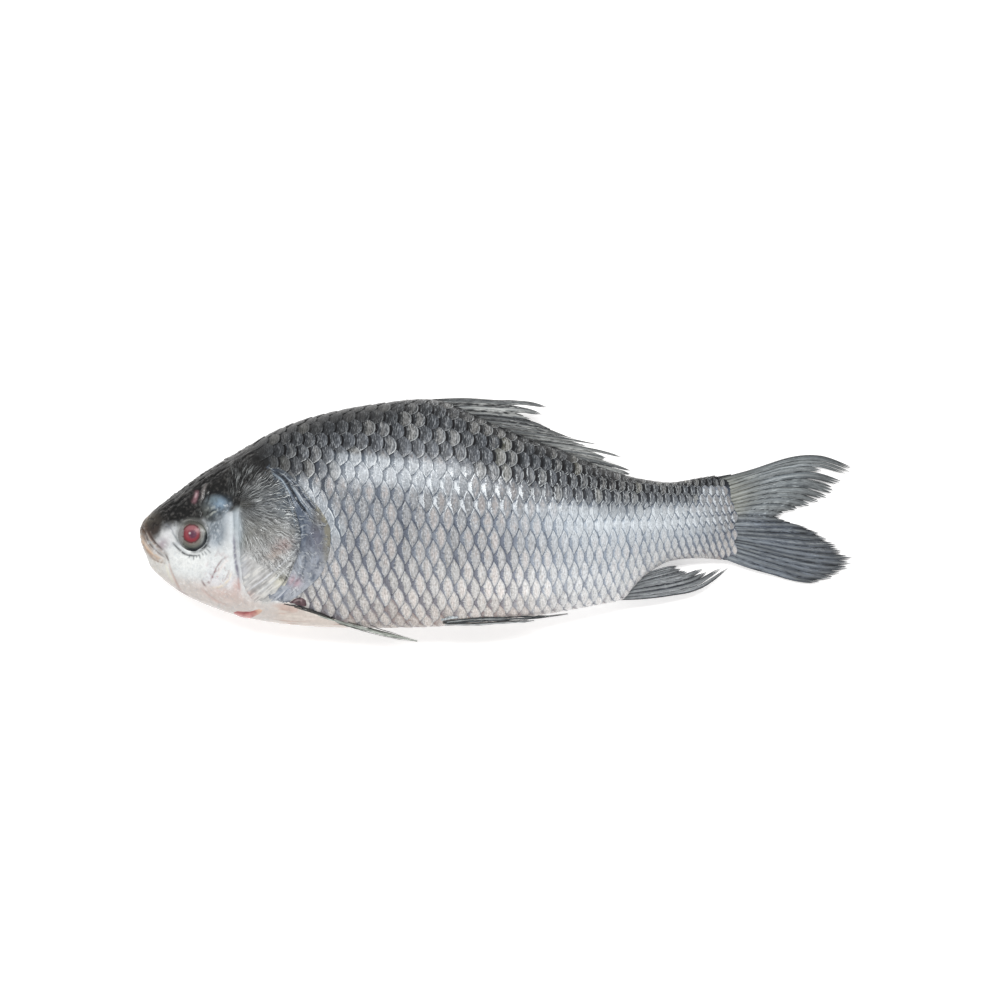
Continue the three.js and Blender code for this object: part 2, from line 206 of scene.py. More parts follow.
def skin_points(share, girth, lift=0.0):
    """Points of the skin. Girth is 0 at the belly, 1 at the back and 2 at the belly again."""
    back, belly = edges_at(share)
    half_depth = (back - belly) / 2 + lift
    half = half_thickness(share) * HALF_THICKNESS + lift
    c, s = np.cos(girth * np.pi), np.sin(girth * np.pi)
    power = 2 / SECTION_FULLNESS
    y = (back + belly) / 2 - half_depth * np.sign(c) * np.abs(c) ** power
    z = middle_at(share) + half * np.sign(s) * np.abs(s) ** power
    x = np.broadcast_to(SNOUT_X + share * LENGTH, z.shape)
    return np.stack([x, np.broadcast_to(y, z.shape), z], axis=-1)


def height_on_side(points):
    """0 at the belly's edge and 1 at the back's, for points of the body."""
    back, belly = edges_at(share_at(points[:, 0]))
    return (points[:, 1] - belly) / (back - belly)


def settled(points):
    """The slab flattens what sags to it, and keeps what lies over what in its order."""
    low = np.minimum(points[..., 2] / PRESSED_BELOW, 1)
    points[..., 2] = np.where(low < 1, PRESSED_BELOW * np.exp(low - 1), points[..., 2])
    return points


def rising(value, low, high):
    """0 at low and below, 1 at high and above, and smooth between them."""
    t = np.clip((value - low) / (high - low), 0, 1)
    return t * t * (3 - 2 * t)


def points_of(mesh):
    """The mesh's points as an array."""
    flat = np.empty(len(mesh.vertices) * 3, np.float32)
    mesh.vertices.foreach_get("co", flat)
    return flat.reshape(-1, 3).astype(float)


def paint(mesh, name, values):
    """Stores one number or one vector for each point of the mesh, for its material to read."""
    values = np.asarray(values, np.float32)
    kind, key = ("FLOAT", "value") if values.ndim == 1 else ("FLOAT_VECTOR", "vector")
    layer = mesh.attributes.new(name, kind, "POINT")
    layer.data.foreach_set(key, values.ravel())


def piece(name, mesh, finish, stands_for="fish"):
    """Makes the mesh a piece of the fish that stands for its CAD solid."""
    mesh.name = name
    mesh.shade_smooth()
    mesh.set_sharp_from_angle(angle=CREASE)
    mesh.materials.append(finish)
    made = bpy.data.objects.new(name, mesh)
    bpy.context.scene.collection.objects.link(made)
    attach(made, "root")
    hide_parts(stands_for)
    return made


def mesh_of(shape):
    """Ends a bmesh: turns its faces outwards and gives a mesh."""
    bmesh.ops.recalc_face_normals(shape, faces=shape.faces[:])
    mesh = bpy.data.meshes.new("shape")
    shape.to_mesh(mesh)
    shape.free()
    return mesh


def sleeve(columns, rows, place):
    """A closed tube: a grid whose place(u, girth) wraps it round, sewn up and capped at its ends."""
    shape = bmesh.new()
    bmesh.ops.create_grid(shape, x_segments=columns, y_segments=rows, size=0.5)
    grid = np.array([v.co for v in shape.verts])
    wrapped = place(grid[:, 0] + 0.5, (grid[:, 1] + 0.5) * 2)
    for vert, point in zip(shape.verts, wrapped):
        vert.co = point
    bmesh.ops.remove_doubles(shape, verts=shape.verts[:], dist=SEWN_WITHIN)
    open_edges = [edge for edge in shape.edges if edge.is_boundary]
    bmesh.ops.holes_fill(shape, edges=open_edges, sides=0)
    return mesh_of(shape)


class Amount:
    """A number that varies over a surface, as an expression that adds Math nodes."""

    def __init__(self, finish, socket):
        self.finish = finish
        self.socket = socket

    def math(self, operation, *values):
        inputs = dict(enumerate(values))
        return Amount(self.finish, self.finish.node("Math", {"operation": operation}, inputs).outputs[0])

    def __add__(self, other):
        return self.math("ADD", self, other)

    def __radd__(self, other):
        return self.math("ADD", other, self)

    def __sub__(self, other):
        return self.math("SUBTRACT", self, other)

    def __rsub__(self, other):
        return self.math("SUBTRACT", other, self)

    def __mul__(self, other):
        return self.math("MULTIPLY", self, other)

    def __rmul__(self, other):
        return self.math("MULTIPLY", other, self)

    def __truediv__(self, other):
        return self.math("DIVIDE", self, other)

    def __abs__(self):
        return self.math("ABSOLUTE", self)

    def least(self, other):
        return self.math("MINIMUM", self, other)

    def most(self, other):
        return self.math("MAXIMUM", self, other)

    def root(self):
        return self.math("SQRT", self)

    def between(self, low, high):
        """0 at low and below, 1 at high and above, and smooth between them."""
        settings = {"interpolation_type": "SMOOTHSTEP"}
        inputs = {"Value": self, "From Min": low, "From Max": high}
        return Amount(self.finish, self.finish.node("MapRange", settings, inputs).outputs[0])


class Finish:
    """A material: a Principled shader whose constants are set here, and nodes added one by one."""

    def __init__(self, name, **constants):
        self.material = bpy.data.materials.new(name)
        self.material.use_nodes = True
        self.tree = self.material.node_tree
        self.shader = self.tree.nodes["Principled BSDF"]
        # Wet skin mirrors less than glass does.
        constants = {"Specular_IOR_Level": 0.2, "Coat_IOR": 1.36, **constants}
        for socket, value in constants.items():
            self.shader.inputs[socket.replace("_", " ")].default_value = value

    def wire(self, socket, value):
        value = value.socket if isinstance(value, Amount) else value
        if isinstance(value, bpy.types.NodeSocket):
            self.tree.links.new(value, socket)
        elif hasattr(value, "__len__") and len(value) == 3 and socket.type == "RGBA":
            socket.default_value = (*value, 1)
        else:
            socket.default_value = value

    def feed(self, socket, value):
        self.wire(self.shader.inputs[socket], value)

    def node(self, kind, settings, inputs):
        made = self.tree.nodes.new("ShaderNode" + kind)
        for name, value in settings.items():
            setattr(made, name, value)
        for name, value in inputs.items():
            self.wire(made.inputs[name], value)
        return made

    def amount(self, name):
        found = self.node("Attribute", {"attribute_name": name}, {})
        return Amount(self, found.outputs["Fac"])

    def vector(self, name):
        return self.node("Attribute", {"attribute_name": name}, {}).outputs["Vector"]

    def parts(self, name):
        """The three numbers of a vector attribute."""
        made = self.node("SeparateXYZ", {}, {0: self.vector(name)})
        return [Amount(self, socket) for socket in made.outputs]

    def join(self, x, y, z):
        return self.node("CombineXYZ", {}, {0: x, 1: y, 2: z}).outputs[0]

    def place(self):
        """The place on the fish, in metres."""
        return self.node("TexCoord", {}, {}).outputs["Object"]

    def noise(self, vector, scale, detail=3.0, roughness=0.55):
        inputs = {"Vector": vector, "Scale": scale, "Detail": detail, "Roughness": roughness}
        return Amount(self, self.node("TexNoise", {}, inputs).outputs[0])

    def mix(self, share, colour_a, colour_b):
        """Colour a where share is 0, and b where it is 1."""
        made = self.node("Mix", {"data_type": "RGBA"}, {0: share, 6: colour_a, 7: colour_b})
        return made.outputs[2]

    def scaled(self, colour, amount):
        """The colour, brighter or darker by that factor."""
        made = self.node("VectorMath", {"operation": "SCALE"}, {0: colour, "Scale": amount})
        return made.outputs[0]

    def ramp(self, share, stops):
        """Colours along share, as (place, colour) stops."""
        made = self.node("ValToRGB", {}, {0: share})
        points = made.color_ramp.elements
        while len(points) < len(stops):
            points.new(0.5)
        for point, (place, colour) in zip(points, stops):
            point.position = place
            point.color = (*colour, 1)
        return made.outputs[0]

    def relief(self, height, depth, strength=1.0):
        """A bump of that depth, in metres, feeding the shader's normal."""
        bump = self.node("Bump", {}, {"Height": height, "Distance": depth, "Strength": strength})
        self.feed("Normal", bump.outputs[0])


def srgb(red, green, blue):
    """A colour as the eye names it, from 0 to 255, as the shader's linear one."""
    return tuple(((c / 255 + 0.055) / 1.055) ** 2.4 if c > 10 else c / 3295 for c in (red, green, blue))


def trunk_place(u, girth):
    share = TRUNK_START + (TRUNK_END - TRUNK_START) * u
    return settled(skin_points(share, girth, -SCALE_BED))


under_skin = Finish("under_skin", Roughness=0.35, Coat_Weight=0.5, Coat_Roughness=0.12)
under_skin.feed("Base Color", under_skin.ramp(under_skin.amount("height"), [
    (0.0, srgb(175, 160, 153)), (0.12, srgb(120, 120, 125)), (0.5, srgb(76, 84, 96)),
    (0.8, srgb(42, 45, 50)), (1.0, srgb(30, 31, 33)),
]))
under_skin.relief(under_skin.noise(under_skin.place(), 900.0), 0.0003)
trunk_mesh = sleeve(TRUNK_COLUMNS, TRUNK_ROWS, trunk_place)
trunk_points = points_of(trunk_mesh)
tail_root = rising(share_at(trunk_points[:, 0]), 0.8, 0.825)
trunk_height = height_on_side(trunk_points)
paint(trunk_mesh, "height", trunk_height * (1 - 0.5 * tail_root * rising(0.9 - trunk_height, 0, 0.15)))
piece("trunk_skin", trunk_mesh, under_skin.material)


# ------------------------------------------------------------------ scales
# Large round scales of bony plate under a thin wet skin, each rooted in a pocket and lying over
# the next ones behind it, like roof tiles. About forty stand in a row along the lateral line.

MM = 0.001
SCALE_END = 0.842
SCALE_THICKNESS = 0.00028
SCALE_SLOPE = 0.00068
SCALE_BULGE = 0.00022
SCALE_LENGTH = 2.05
SCALE_ALONG = 4
SCALE_ACROSS = 8
SCALE_HALF_HEIGHT = 1.02
# The free edge's rim is this wide, in pitches, and dips this deep.
SCALE_RIM = 0.16
SCALE_RIM_DIP = 0.00016
SCALE_UNEVENNESS = 0.00005
# The columns of scales are counted forwards from the tail to about this share of the length.
SCALES_FROM = 0.14
# A row may lie this far past the ridge of the back or the belly, in pitches.
OVER_RIDGE = 0.3
ROWS_TO_A_SIDE = 11
FULL_PITCH = 0.0094
SIDES = (("left", 1), ("right", -1))
# Each side draws the tones and the unevenness of its scales from a seed of its own.
SCALE_SEEDS = (7, 11)

column_pitch = curve_through([
    (0.15, 0.0070), (0.2, 0.0078), (0.27, 0.0086), (0.34, 0.0094), (0.45, 0.0092), (0.52, 0.0083),
    (0.56, 0.0076), (0.65, 0.0065), (0.72, 0.0056), (0.79, 0.0047), (0.84, 0.0043),
])
row_pitch = curve_through([
    (0.15, 0.0098), (0.2, 0.0108), (0.27, 0.0116), (0.34, 0.0123), (0.5, 0.0121), (0.56, 0.0117),
    (0.65, 0.0102), (0.72, 0.0087), (0.79, 0.0071), (0.84, 0.0060),
])
# The lateral line, as metres above the fish's axis.
lateral_line = curve_through([
    (0.1, 0.022), (0.2, 0.017), (0.24, 0.0125), (0.295, 0.0088), (0.365, 0.0034), (0.478, -0.002),
    (0.59, -0.0047), (0.7, -0.0034), (0.84, 0.0012),
])
# Where the scales begin, by height: behind the gill cover, and slanting forwards over the nape.
scale_start = curve_through([
    (0, 0.31), (0.04, 0.29), (0.09, 0.245), (0.14, 0.222), (0.25, 0.235), (0.45, 0.245),
    (0.7, 0.215), (0.85, 0.192), (1, 0.172),
])
# Where they end on the root of the tail fin.
scale_end = curve_through([
    (0, 0.822), (0.12, 0.84), (0.35, 0.8425), (0.6, 0.837), (0.8, 0.83), (0.9, 0.822), (1, 0.808),
])
# How bright the silvery skin is along the body.
silver = curve_through([
    (0.2, 0.95), (0.45, 1.0), (0.55, 1.25), (0.65, 1.5), (0.72, 1.4), (0.79, 1.2), (0.84, 1.0),
])

# The rear edge of the gills' membranes: its heights, and how far back it lies at each.
MEMBRANE_EDGE = (
    (-22, -13, -4, 5.6, 15.8, 23.9, 31.6),
    (127.6, 128.6, 127.4, 122, 113.5, 107, 98.6),
)
# Painted sheen, softly brighter and duller over parts of the wet flank: centre, radii and how much
# brighter each one is.
SHEEN = [
    ((134, 22), (13, 18), -0.14), ((134, -22), (10, 12), 0.06), ((168, -4), (24, 20), -0.08),
    ((107, 36), (12, 18), -0.36), ((150, 24), (40, 12), -0.08), ((122, 28), (12, 14), -0.16),
    ((222, 24), (30, 16), -0.13), ((225, -52), (60, 16), 0.14), ((262, 42), (34, 11), 0.16),
    ((330, -4), (60, 12), 0.12), ((290, -42), (46, 16), 0.14), ((364, 24), (24, 7), 0.22),
    ((188, -62), (34, 8), 0.08),
]

STATIONS = np.linspace(0.10, 0.86, 160)
GIRTHS = np.linspace(0, 1, 241)


def girth_tables():
    """For each station, the way round the skin from the middle of the flank, at each girth and
    at the lateral line."""
    grid = skin_points(STATIONS[:, None], GIRTHS[None, :])
    steps = np.linalg.norm(np.diff(grid, axis=1), axis=2)
    ways = np.concatenate([np.zeros((len(STATIONS), 1)), np.cumsum(steps, axis=1)], axis=1)
    middle = ways[:, len(GIRTHS) // 2]
    at_line = np.array([
        np.interp(lateral_line(share), grid[i, :, 1], ways[i]) for i, share in enumerate(STATIONS)
    ])
    return ways - middle[:, None], at_line - middle


WAYS, LINE_WAY = girth_tables()
BACK_WAY, BELLY_WAY = WAYS[:, -1], WAYS[:, 0]


def way_to_girth(share, way):
    """The girth at that way round from the lateral line. Past the ridges it goes on over them."""
    place = np.clip((share - STATIONS[0]) / (STATIONS[1] - STATIONS[0]), 0, len(STATIONS) - 1.001)
    left = place.astype(int)
    blend = place - left
    girth = np.zeros_like(share)
    for station in np.unique(left):
        here = left == station
        for offset, weight in ((0, 1 - blend[here]), (1, blend[here])):
            row = station + offset
            full = way[here] + LINE_WAY[row]
            over = np.maximum(full - BACK_WAY[row], 0) + np.minimum(full - BELLY_WAY[row], 0)
            slope = (GIRTHS[4] - GIRTHS[0]) / (WAYS[row, 4] - WAYS[row, 0])
            girth[here] += weight * (np.interp(full, WAYS[row], GIRTHS) + over * slope)
    return girth


def seen_from_left(points):
    """Where the camera sees points of the left side, or the left twins of the right side's.
    The two numbers are millimetres from the snout's tip and above the fish's axis."""
    middle = middle_at(share_at(points[:, 0]))
    z = middle + np.abs(points[:, 2] - middle)
    nearer = CAMERA_HEIGHT / (CAMERA_HEIGHT - (z - VIEW_CENTRE.z))
    a = VIEW_CENTRE.x + (points[:, 0] - VIEW_CENTRE.x) * nearer - SNOUT_X
    b = VIEW_CENTRE.y + (points[:, 1] - VIEW_CENTRE.y) * nearer
    return np.stack([a, b], axis=1) / MM


def row_offset(row):
    """Rows stand closer towards the back and the belly than on the flank."""
    return row - 0.016 * row * abs(row)


def scale_plate():
    """One scale as a closed plate. Its points hold how far along and across it they are."""
    shape = bmesh.new()
    bmesh.ops.create_grid(shape, x_segments=SCALE_ALONG, y_segments=SCALE_ACROSS, size=0.5)
    bmesh.ops.solidify(shape, geom=shape.faces[:], thickness=1.0)
    under = [face for face in shape.faces if all(abs(v.co.z) > 0.5 for v in face.verts)]
    bmesh.ops.dissolve_faces(shape, faces=under)
    for vert in shape.verts:
        along = 1 - (0.5 - vert.co.x) ** 2
        vert.co = (along, vert.co.y * 2, 1.0 if abs(vert.co.z) > 0.5 else 0.0)
    return mesh_of(shape)


def scale_places(chance):
    """Every scale of one side: the share of its free edge, its row, its height and its chances."""
    ends = [SCALE_END + 0.01]
    while ends[-1] > SCALES_FROM:
        ends.append(ends[-1] - float(column_pitch(ends[-1])) / LENGTH)
    places = []
    for row in range(-ROWS_TO_A_SIDE, ROWS_TO_A_SIDE + 1):
        for end, next_end in zip(ends, ends[1:]):
            end = (end + next_end) / 2 if row % 2 else end
            pitch = float(row_pitch(end))
            way = row_offset(row) * pitch
            line = float(np.interp(end, STATIONS, LINE_WAY))
            top = float(np.interp(end, STATIONS, BACK_WAY)) - line
            bottom = float(np.interp(end, STATIONS, BELLY_WAY)) - line
            if not bottom - OVER_RIDGE * pitch < way < top + OVER_RIDGE * pitch:
                continue
            girth = way_to_girth(np.array([end]), np.array([way]))
            height = float(height_on_side(skin_points(np.array([end]), girth))[0])
            if not scale_start(height) < end < scale_end(height) + 0.004:
                continue
            places.append((end, row, height, chance.random(), chance.normal(), chance.normal()))
    return places


def copies(plate, rows):
    """A copy of the plate for each row, in one mesh, and the rows' values at all of its points."""
    shape = bmesh.new()
    for _ in rows:
        shape.from_mesh(plate)
    mesh = bpy.data.meshes.new("copies")
    shape.to_mesh(mesh)
    shape.free()
    each = len(plate.vertices)
    bpy.data.meshes.remove(plate)
    return mesh, [np.repeat(column, each) for column in np.array(rows).T]


def set_points(mesh, points):
    """Moves the mesh's points to these places."""
    mesh.vertices.foreach_set("co", np.asarray(points, np.float32).ravel())
    mesh.update()


def unit(vectors):
    """The vectors at length one."""
    return vectors / np.maximum(np.linalg.norm(vectors, axis=1), 1e-12)[:, None]


def scales(name, side, chance, finish):
    """The scales of one side as one piece, with what their finish reads at each point."""
    mesh, columns = copies(scale_plate(), scale_places(chance))
    end, row, height, tint, shift, twist = columns
    along, across, under = points_of(mesh).T
    on_back = rising(height, 0.62, 0.9)
    roundness = 0.8 + 1.2 * on_back + 0.25 * rising(0.12 - height, 0, 0.1)
    # A scale's own coordinates count pitches: x is 0 at its free edge and less before it, and y
    # runs up from its row's middle.
    y = across * SCALE_HALF_HEIGHT * (1 + 0.04 * twist)
    square = np.maximum(roundness - 0.8, 0) * 0.6
    free_edge = -roundness * y * y * (1 - square + 4 * square * np.minimum(np.abs(y), 0.5) ** 2)
    front = -SCALE_LENGTH + 0.8 * y * y - 1.2 * on_back * y * y
    x = front + (free_edge - front) * along
    pitch = column_pitch(end)
    share = end + (x + 0.025 * shift) * pitch / LENGTH
    way = (row_offset(row) + y + 0.015 * twist) * row_pitch(share)
    rim = np.clip(1 - (free_edge - x) / SCALE_RIM, 0, 1)
    depth = (x + roundness * 0.35 * y * y) * SCALE_SLOPE - SCALE_RIM_DIP * rim ** 2
    depth += SCALE_BULGE * np.exp(-((x + 0.5) / 0.33) ** 2) * (1 - 0.6 * y * y)
    lift = depth * pitch / FULL_PITCH - under * SCALE_THICKNESS + SCALE_UNEVENNESS * shift

    def at(share, way):
        girth = way_to_girth(share, way)
        return skin_points(share, girth if side > 0 else 2 - girth)

    step = 0.0006
    along_body = at(share + step / LENGTH, way) - at(share - step / LENGTH, way)
    round_body = at(share, way + step) - at(share, way - step)
    normal = unit(np.cross(along_body, round_body) * side)
    points = at(share, way)
    a, b = seen_from_left(points).T
    set_points(mesh, settled(points + normal * lift[:, None]))
    if side < 0:
        mesh.flip_normals()
    paint(mesh, "plate", np.stack([x, y, roundness], axis=1))
    # The dark of the back ends before the tail fin, where the scales are silvery right up.
    tone = height + 0.055 * rising(end, 0.5, 0.68)
    tone -= 0.28 * rising(end, 0.775, 0.815) * rising(height, 0.4, 0.75) * rising(0.93 - height, 0, 0.12)
    brightness = 1 + (silver(end) - 1) * (1 - 0.9 * rising(height, 0.62, 0.74))
    for centre, radii, brighter in SHEEN:
        far = ((a - centre[0]) / radii[0]) ** 2 + ((b - centre[1]) / radii[1]) ** 2
        brightness *= 1 + brighter * np.exp(-far)
    paint(mesh, "kind", np.stack([tone, tint, brightness], axis=1))
    # The net fades in a silvery stripe below the back, which is a painted reflection of the softbox; on the
    # rear flank, where the silver is paler under a painted sheen; and behind the gills, under pale slime.
    softbox_reflection = rising(a, 122, 140) * rising(238 - a, 0, 45)
    softbox_reflection *= rising(46.5 - 0.1 * (a - 133) - b, 0, 3) * rising(b - 23 + 0.14 * (a - 133), 0, 8)
    rear = rising(a, 235, 300) * rising(402 - a, 0, 30)
    rear *= 0.45 * rising(16 - b, 0, 14) + 0.5 * np.exp(-((b + 2) / 12) ** 2)
    # A strip of pale slime runs down behind the gills' membranes.
    slime = rising(np.interp(b, *MEMBRANE_EDGE) + 12 - a, 0, 5) * rising(b, -24, -6) * rising(31 - b, 0, 6)
    reflection_and_slime = np.maximum(np.maximum(softbox_reflection * 0.8, rear), slime)
    # Painted glints: where the wet flank catches the light, bright rims and wedges are painted on its scales.
    glint = rising(b, -2, 10) * rising(38 - b, 0, 8) * rising(a, 165, 205) * rising(340 - a, 0, 60)
    glint = np.maximum(glint, 0.85 * rising(b, -14, -2) * rising(28 - b, 0, 8) * rising(a, 280, 310))
    lean = 0.05 + 0.2 * rising(-b, 22, 46) * rising(225 - a, 0, 60) + 0.3 * rising(a, 350, 375)
    paint(mesh, "look", np.stack([glint, reflection_and_slime, lean], axis=1))
    # The discs of the back stand farther apart under the dorsal fin and behind it.
    paint(mesh, "gap", 0.075 + 0.165 * rising(a, 220, 270))
    # Over the nape the skin is smooth and dark, and the first scales come up out of it.
    nape = rising(height, 0.84, 0.97) * rising(205 - a, 0, 50)
    first = rising(scale_start(height) + 0.045 - end, 0, 0.04) * rising(height, 0.6, 0.75)
    paint(mesh, "plain", np.maximum(nape * 0.8, first * 0.75))
    return piece(name, mesh, finish)


def scale_finish():
    """Silvery scales in a slate-blue net, charcoal on the back and white at the belly."""
    made = Finish("scales", Coat_Roughness=0.1)
    x, y, roundness = made.parts("plate")
    height, tint, brightness = made.parts("kind")
    glint, reflection_and_slime, lean = made.parts("look")
    square = (roundness - 0.8).most(0) * 0.6

    def edge(across):
        """How far the free edge falls back at that distance from the scale's middle line."""
        near = across.least(0.5)
        return roundness * across * across * (1 - square + square * 4 * near * near)

    before = 0 - 1 - edge(abs(y))
    beside = 0 - 0.5 - edge(1 - abs(y))
    from_front = x - before.most(beside)
    from_edge = 0 - x - edge(abs(y))

    def grained(along, across, scale, detail, roughness=0.6):
        """Noise of each scale's own, so many times as fine along and across it."""
        return made.noise(made.join(x * along, y * across, tint * 40), scale, detail, roughness)

    grain = grained(2.2, 1.4, 1.9, 4.0)
    speck = grained(1.3, 1.3, 6.0, 3.0)
    streaks = grained(8, 1.6, 2.0, 3.0)
    # Teeth run along the scale, where its dark front breaks up into the pale middle.
    teeth = grained(1.6, 13, 1.0, 2.0, 0.5)
    high = height + (grain - 0.5) * 0.12 + (tint - 0.5) * 0.08
    back = high.between(0.69, 0.79)
    low = 1 - back
    patches = made.noise(made.place(), 42.0, 2.0, 0.5)
    # A pale lens stands in the rear of each scale of the flank, and a disc on those of the back.
    bulging = (0.71 + (tint - 0.5) * 0.14) * (1 - abs(y) * 0.25 - y * y * 1.25)
    leaning = lean * y
    ragged = (teeth - 0.5) * 0.34 + (grain - 0.5) * 0.2
    before_lens = bulging + 0.04 + leaning - from_edge + ragged
    behind_lens = from_edge - 0.03 - leaning.most(0) + (grain - 0.5) * 0.08
    inside = before_lens.least(behind_lens).least(from_front - 0.05)
    gap = made.amount("gap")
    off_centre = (x + 0.45) * (x + 0.45) + y * y * 0.5
    oval = 0.74 - gap - off_centre.root()
    disc = oval.least(from_edge - 0.01 - gap * 0.33).least(from_front - gap) + (grain - 0.5) * 0.1
    pale = inside.between(-0.03, 0.06) * low + disc.between(0.0, 0.07) * back
    centre = made.ramp(high, [
        (0.0, srgb(192, 182, 176)), (0.08, srgb(194, 191, 188)), (0.2, srgb(188, 187, 186)),
        (0.36, srgb(162, 163, 165)), (0.56, srgb(146, 149, 153)), (0.68, srgb(130, 135, 141)),
        (0.76, srgb(98, 102, 108)), (0.88, srgb(83, 87, 92)), (1.0, srgb(36, 37, 38)),
    ])
    net = made.ramp(high, [
        (0.0, srgb(170, 154, 148)), (0.08, srgb(130, 128, 134)), (0.3, srgb(108, 114, 127)),
        (0.62, srgb(96, 104, 117)), (0.76, srgb(42, 45, 50)), (1.0, srgb(20, 21, 22)),
    ])
    dark = made.ramp(high, [
        (0.0, srgb(124, 102, 98)), (0.1, srgb(72, 72, 80)), (0.62, srgb(42, 48, 58)), (0.8, srgb(12, 13, 15)),
    ])
    faint = made.mix(patches.between(0.46, 0.62) * 0.4 * low, net, srgb(156, 163, 172))
    # The seams are the dark pigment of the scale pockets, deepened by painted shadow under the free edge of
    # the scale before.
    front_seam_shade = 1 - (from_front + (grain - 0.5) * 0.12).between(0.04, 0.12)
    edge_seam = 1 - (from_edge + (grain - 0.5) * 0.08).between(0.0, 0.05)
    seam = front_seam_shade.most(edge_seam * 0.8)
    # On the flank the seams are dark mostly where three scales meet.
    crossing = back + low * (0.25 + 0.6 * abs(y).between(0.2, 0.6)) * grain.between(0.36, 0.52)
    seam_shaded = made.mix(seam * crossing * 0.95, faint, dark)
    warmth = inside.between(0.08, 0.22) * (grain + (tint - 0.5) * 0.3).between(0.44, 0.62) * low
    warm = made.mix(warmth * 0.3, centre, srgb(188, 170, 158))
    # The discs of the back are darker at the front, and some have a pale streak in the middle. The
    # lenses are paler towards their rear.
    rearward = (x + 0.75).between(0.0, 0.6)
    # The lens is darker towards its edge, and where a painted glint wedge stands before it.
    core = (inside + (grain - 0.5) * 0.16).between(0.0, 0.2) * 0.3 + 0.74 - glint * 0.2
    shaded = made.scaled(warm, (0.55 + rearward * 0.55) * back + (core - 0.06 + rearward * 0.08) * low)
    blotch = (disc + (streaks - 0.5) * 0.5 + (speck - 0.5) * 0.3 + rearward * 0.12).between(0.16, 0.4) * back
    olive = made.mix(tint.between(0.8, 0.97) * back * 0.2, shaded, srgb(134, 132, 112))
    lit = made.mix(blotch * (tint + (grain - 0.5)).between(0.2, 1.0) * 0.42, olive, srgb(170, 169, 166))
    rough = streaks.between(0.3, 0.7) * 0.9 + speck.between(0.34, 0.66) * 0.36 + 0.36
    streaked = made.scaled(lit, rough * back + (streaks * 1.5 + speck * 0.9 - 0.2) * low)
    toned = made.mix(pale, seam_shaded, streaked)
    bright = made.scaled(toned, brightness * (0.88 + tint * 0.24))
    slimy = reflection_and_slime.between(0.96, 1.0)
    # Towards the tail the silver is paler, and its net all but gone.
    rear = brightness.between(1.1, 1.45)
    lit_net = made.mix(rear, srgb(126, 136, 147), srgb(160, 170, 180))
    silver_net = made.mix(slimy, lit_net, srgb(182, 186, 190))
    silver_lit = (streaks * 1.3 + speck * 0.9 - 0.1) * (0.6 + brightness * 0.4)
    lens_silver = made.mix(rear, srgb(158, 164, 170), srgb(178, 184, 189))
    silvery = made.scaled(made.mix(pale, silver_net, lens_silver), silver_lit)
    silvered = made.mix(reflection_and_slime * (0.7 + 0.3 * pale.most(slimy)), bright, silvery)
    silver_seam = seam * reflection_and_slime * (0.55 - 0.2 * slimy) * (1.5 - brightness * 0.5)
    edged = made.mix(silver_seam, silvered, srgb(70, 80, 92))
    # Dried slime wrinkles into fine, dark lines.
    wrinkles = 1 - abs(made.noise(made.place(), 420.0, 3.0, 0.6) - 0.5).between(0.0, 0.035)
    wrinkled = made.mix(wrinkles * slimy * 0.7, edged, srgb(92, 102, 114))
    # Painted highlights on the wet rims: the lens's on the flank, the free edge on the back. Where the
    # flank glints, a white glint wedge is painted on the skin before each lens.
    rim = 1 - abs(inside - 0.03).between(0.0, 0.07)
    front_rim = rim * (0 - 0.40 - x).between(0.0, 0.12) * (glint * 0.8 + 0.3 * low)
    glint_wedge = (1 - pale) * low * from_front.between(0.0, 0.06)
    glint_wedge = glint_wedge * (y + 0.66).between(0.0, 0.2) * (0.36 - y).between(0.0, 0.3) * 0.8
    broken = (grain + (tint - 0.5) * 0.4 - y * 0.25).between(0.46, 0.6)
    free_rim = (1 - abs(from_edge - 0.12).between(0.0, 0.07)) * broken
    gleam = front_rim.most(rim * reflection_and_slime * 0.7) * grain.between(0.4, 0.56)
    gleam = gleam.most(glint_wedge * glint * grain.between(0.3, 0.5))
    gleaming = made.mix(gleam.least(1) * 0.95, wrinkled, srgb(240, 245, 248))
    rimmed = made.mix(free_rim * (0.1 + 0.6 * back), gleaming, srgb(186, 189, 190))
    # Fine pale flecks: painted sparkle highlights on the flank's lenses, and pale streaks in the discs of the
    # back.
    sparkle_and_streaks = speck.between(0.55, 0.68) * 0.4 * low + streaks.between(0.53, 0.66) * 0.34 * back
    pit = (1 - speck.between(0.36, 0.47)) * (0.45 - 0.3 * back)
    sparkled = made.mix(sparkle_and_streaks * pale, rimmed, srgb(216, 219, 222))
    pitted = made.mix(pit * (1 - 0.5 * reflection_and_slime) * (1 - 0.7 * pale * low), sparkled, dark)
    nape = made.scaled(srgb(36, 37, 38), 0.2 + streaks * 1.6)
    made.feed("Base Color", made.mix(made.amount("plain"), pitted, nape))
    made.feed("Roughness", 0.32 + grain * 0.2)
    made.feed("Metallic", pale * 0.12)
    made.feed("Coat Weight", 0.06 + speck * 0.5)
    made.relief(speck + streaks * 0.8 - seam * 0.8, 0.00026)
    return made.material


scales_material = scale_finish()
for (side_name, side), seed in zip(SIDES, SCALE_SEEDS):
    scales(f"scales_{side_name}", side, np.random.default_rng(seed), scales_material)


# ------------------------------------------------------------------ head
# The scaleless skin of the head, drawn tight over the skull: charcoal and wrinkled on top, pale
# and wet on the cheek, with the shut mouth's lips, the nostrils, the eye sockets and the throat.

HEAD_COLUMNS = 236
HEAD_ROWS = 420
# The columns crowd towards the face: shares of the length, at shares of the columns.
head_column = curve_through([(0, 0), (0.06, 0.006), (0.72, 0.145), (1, 0.33)])

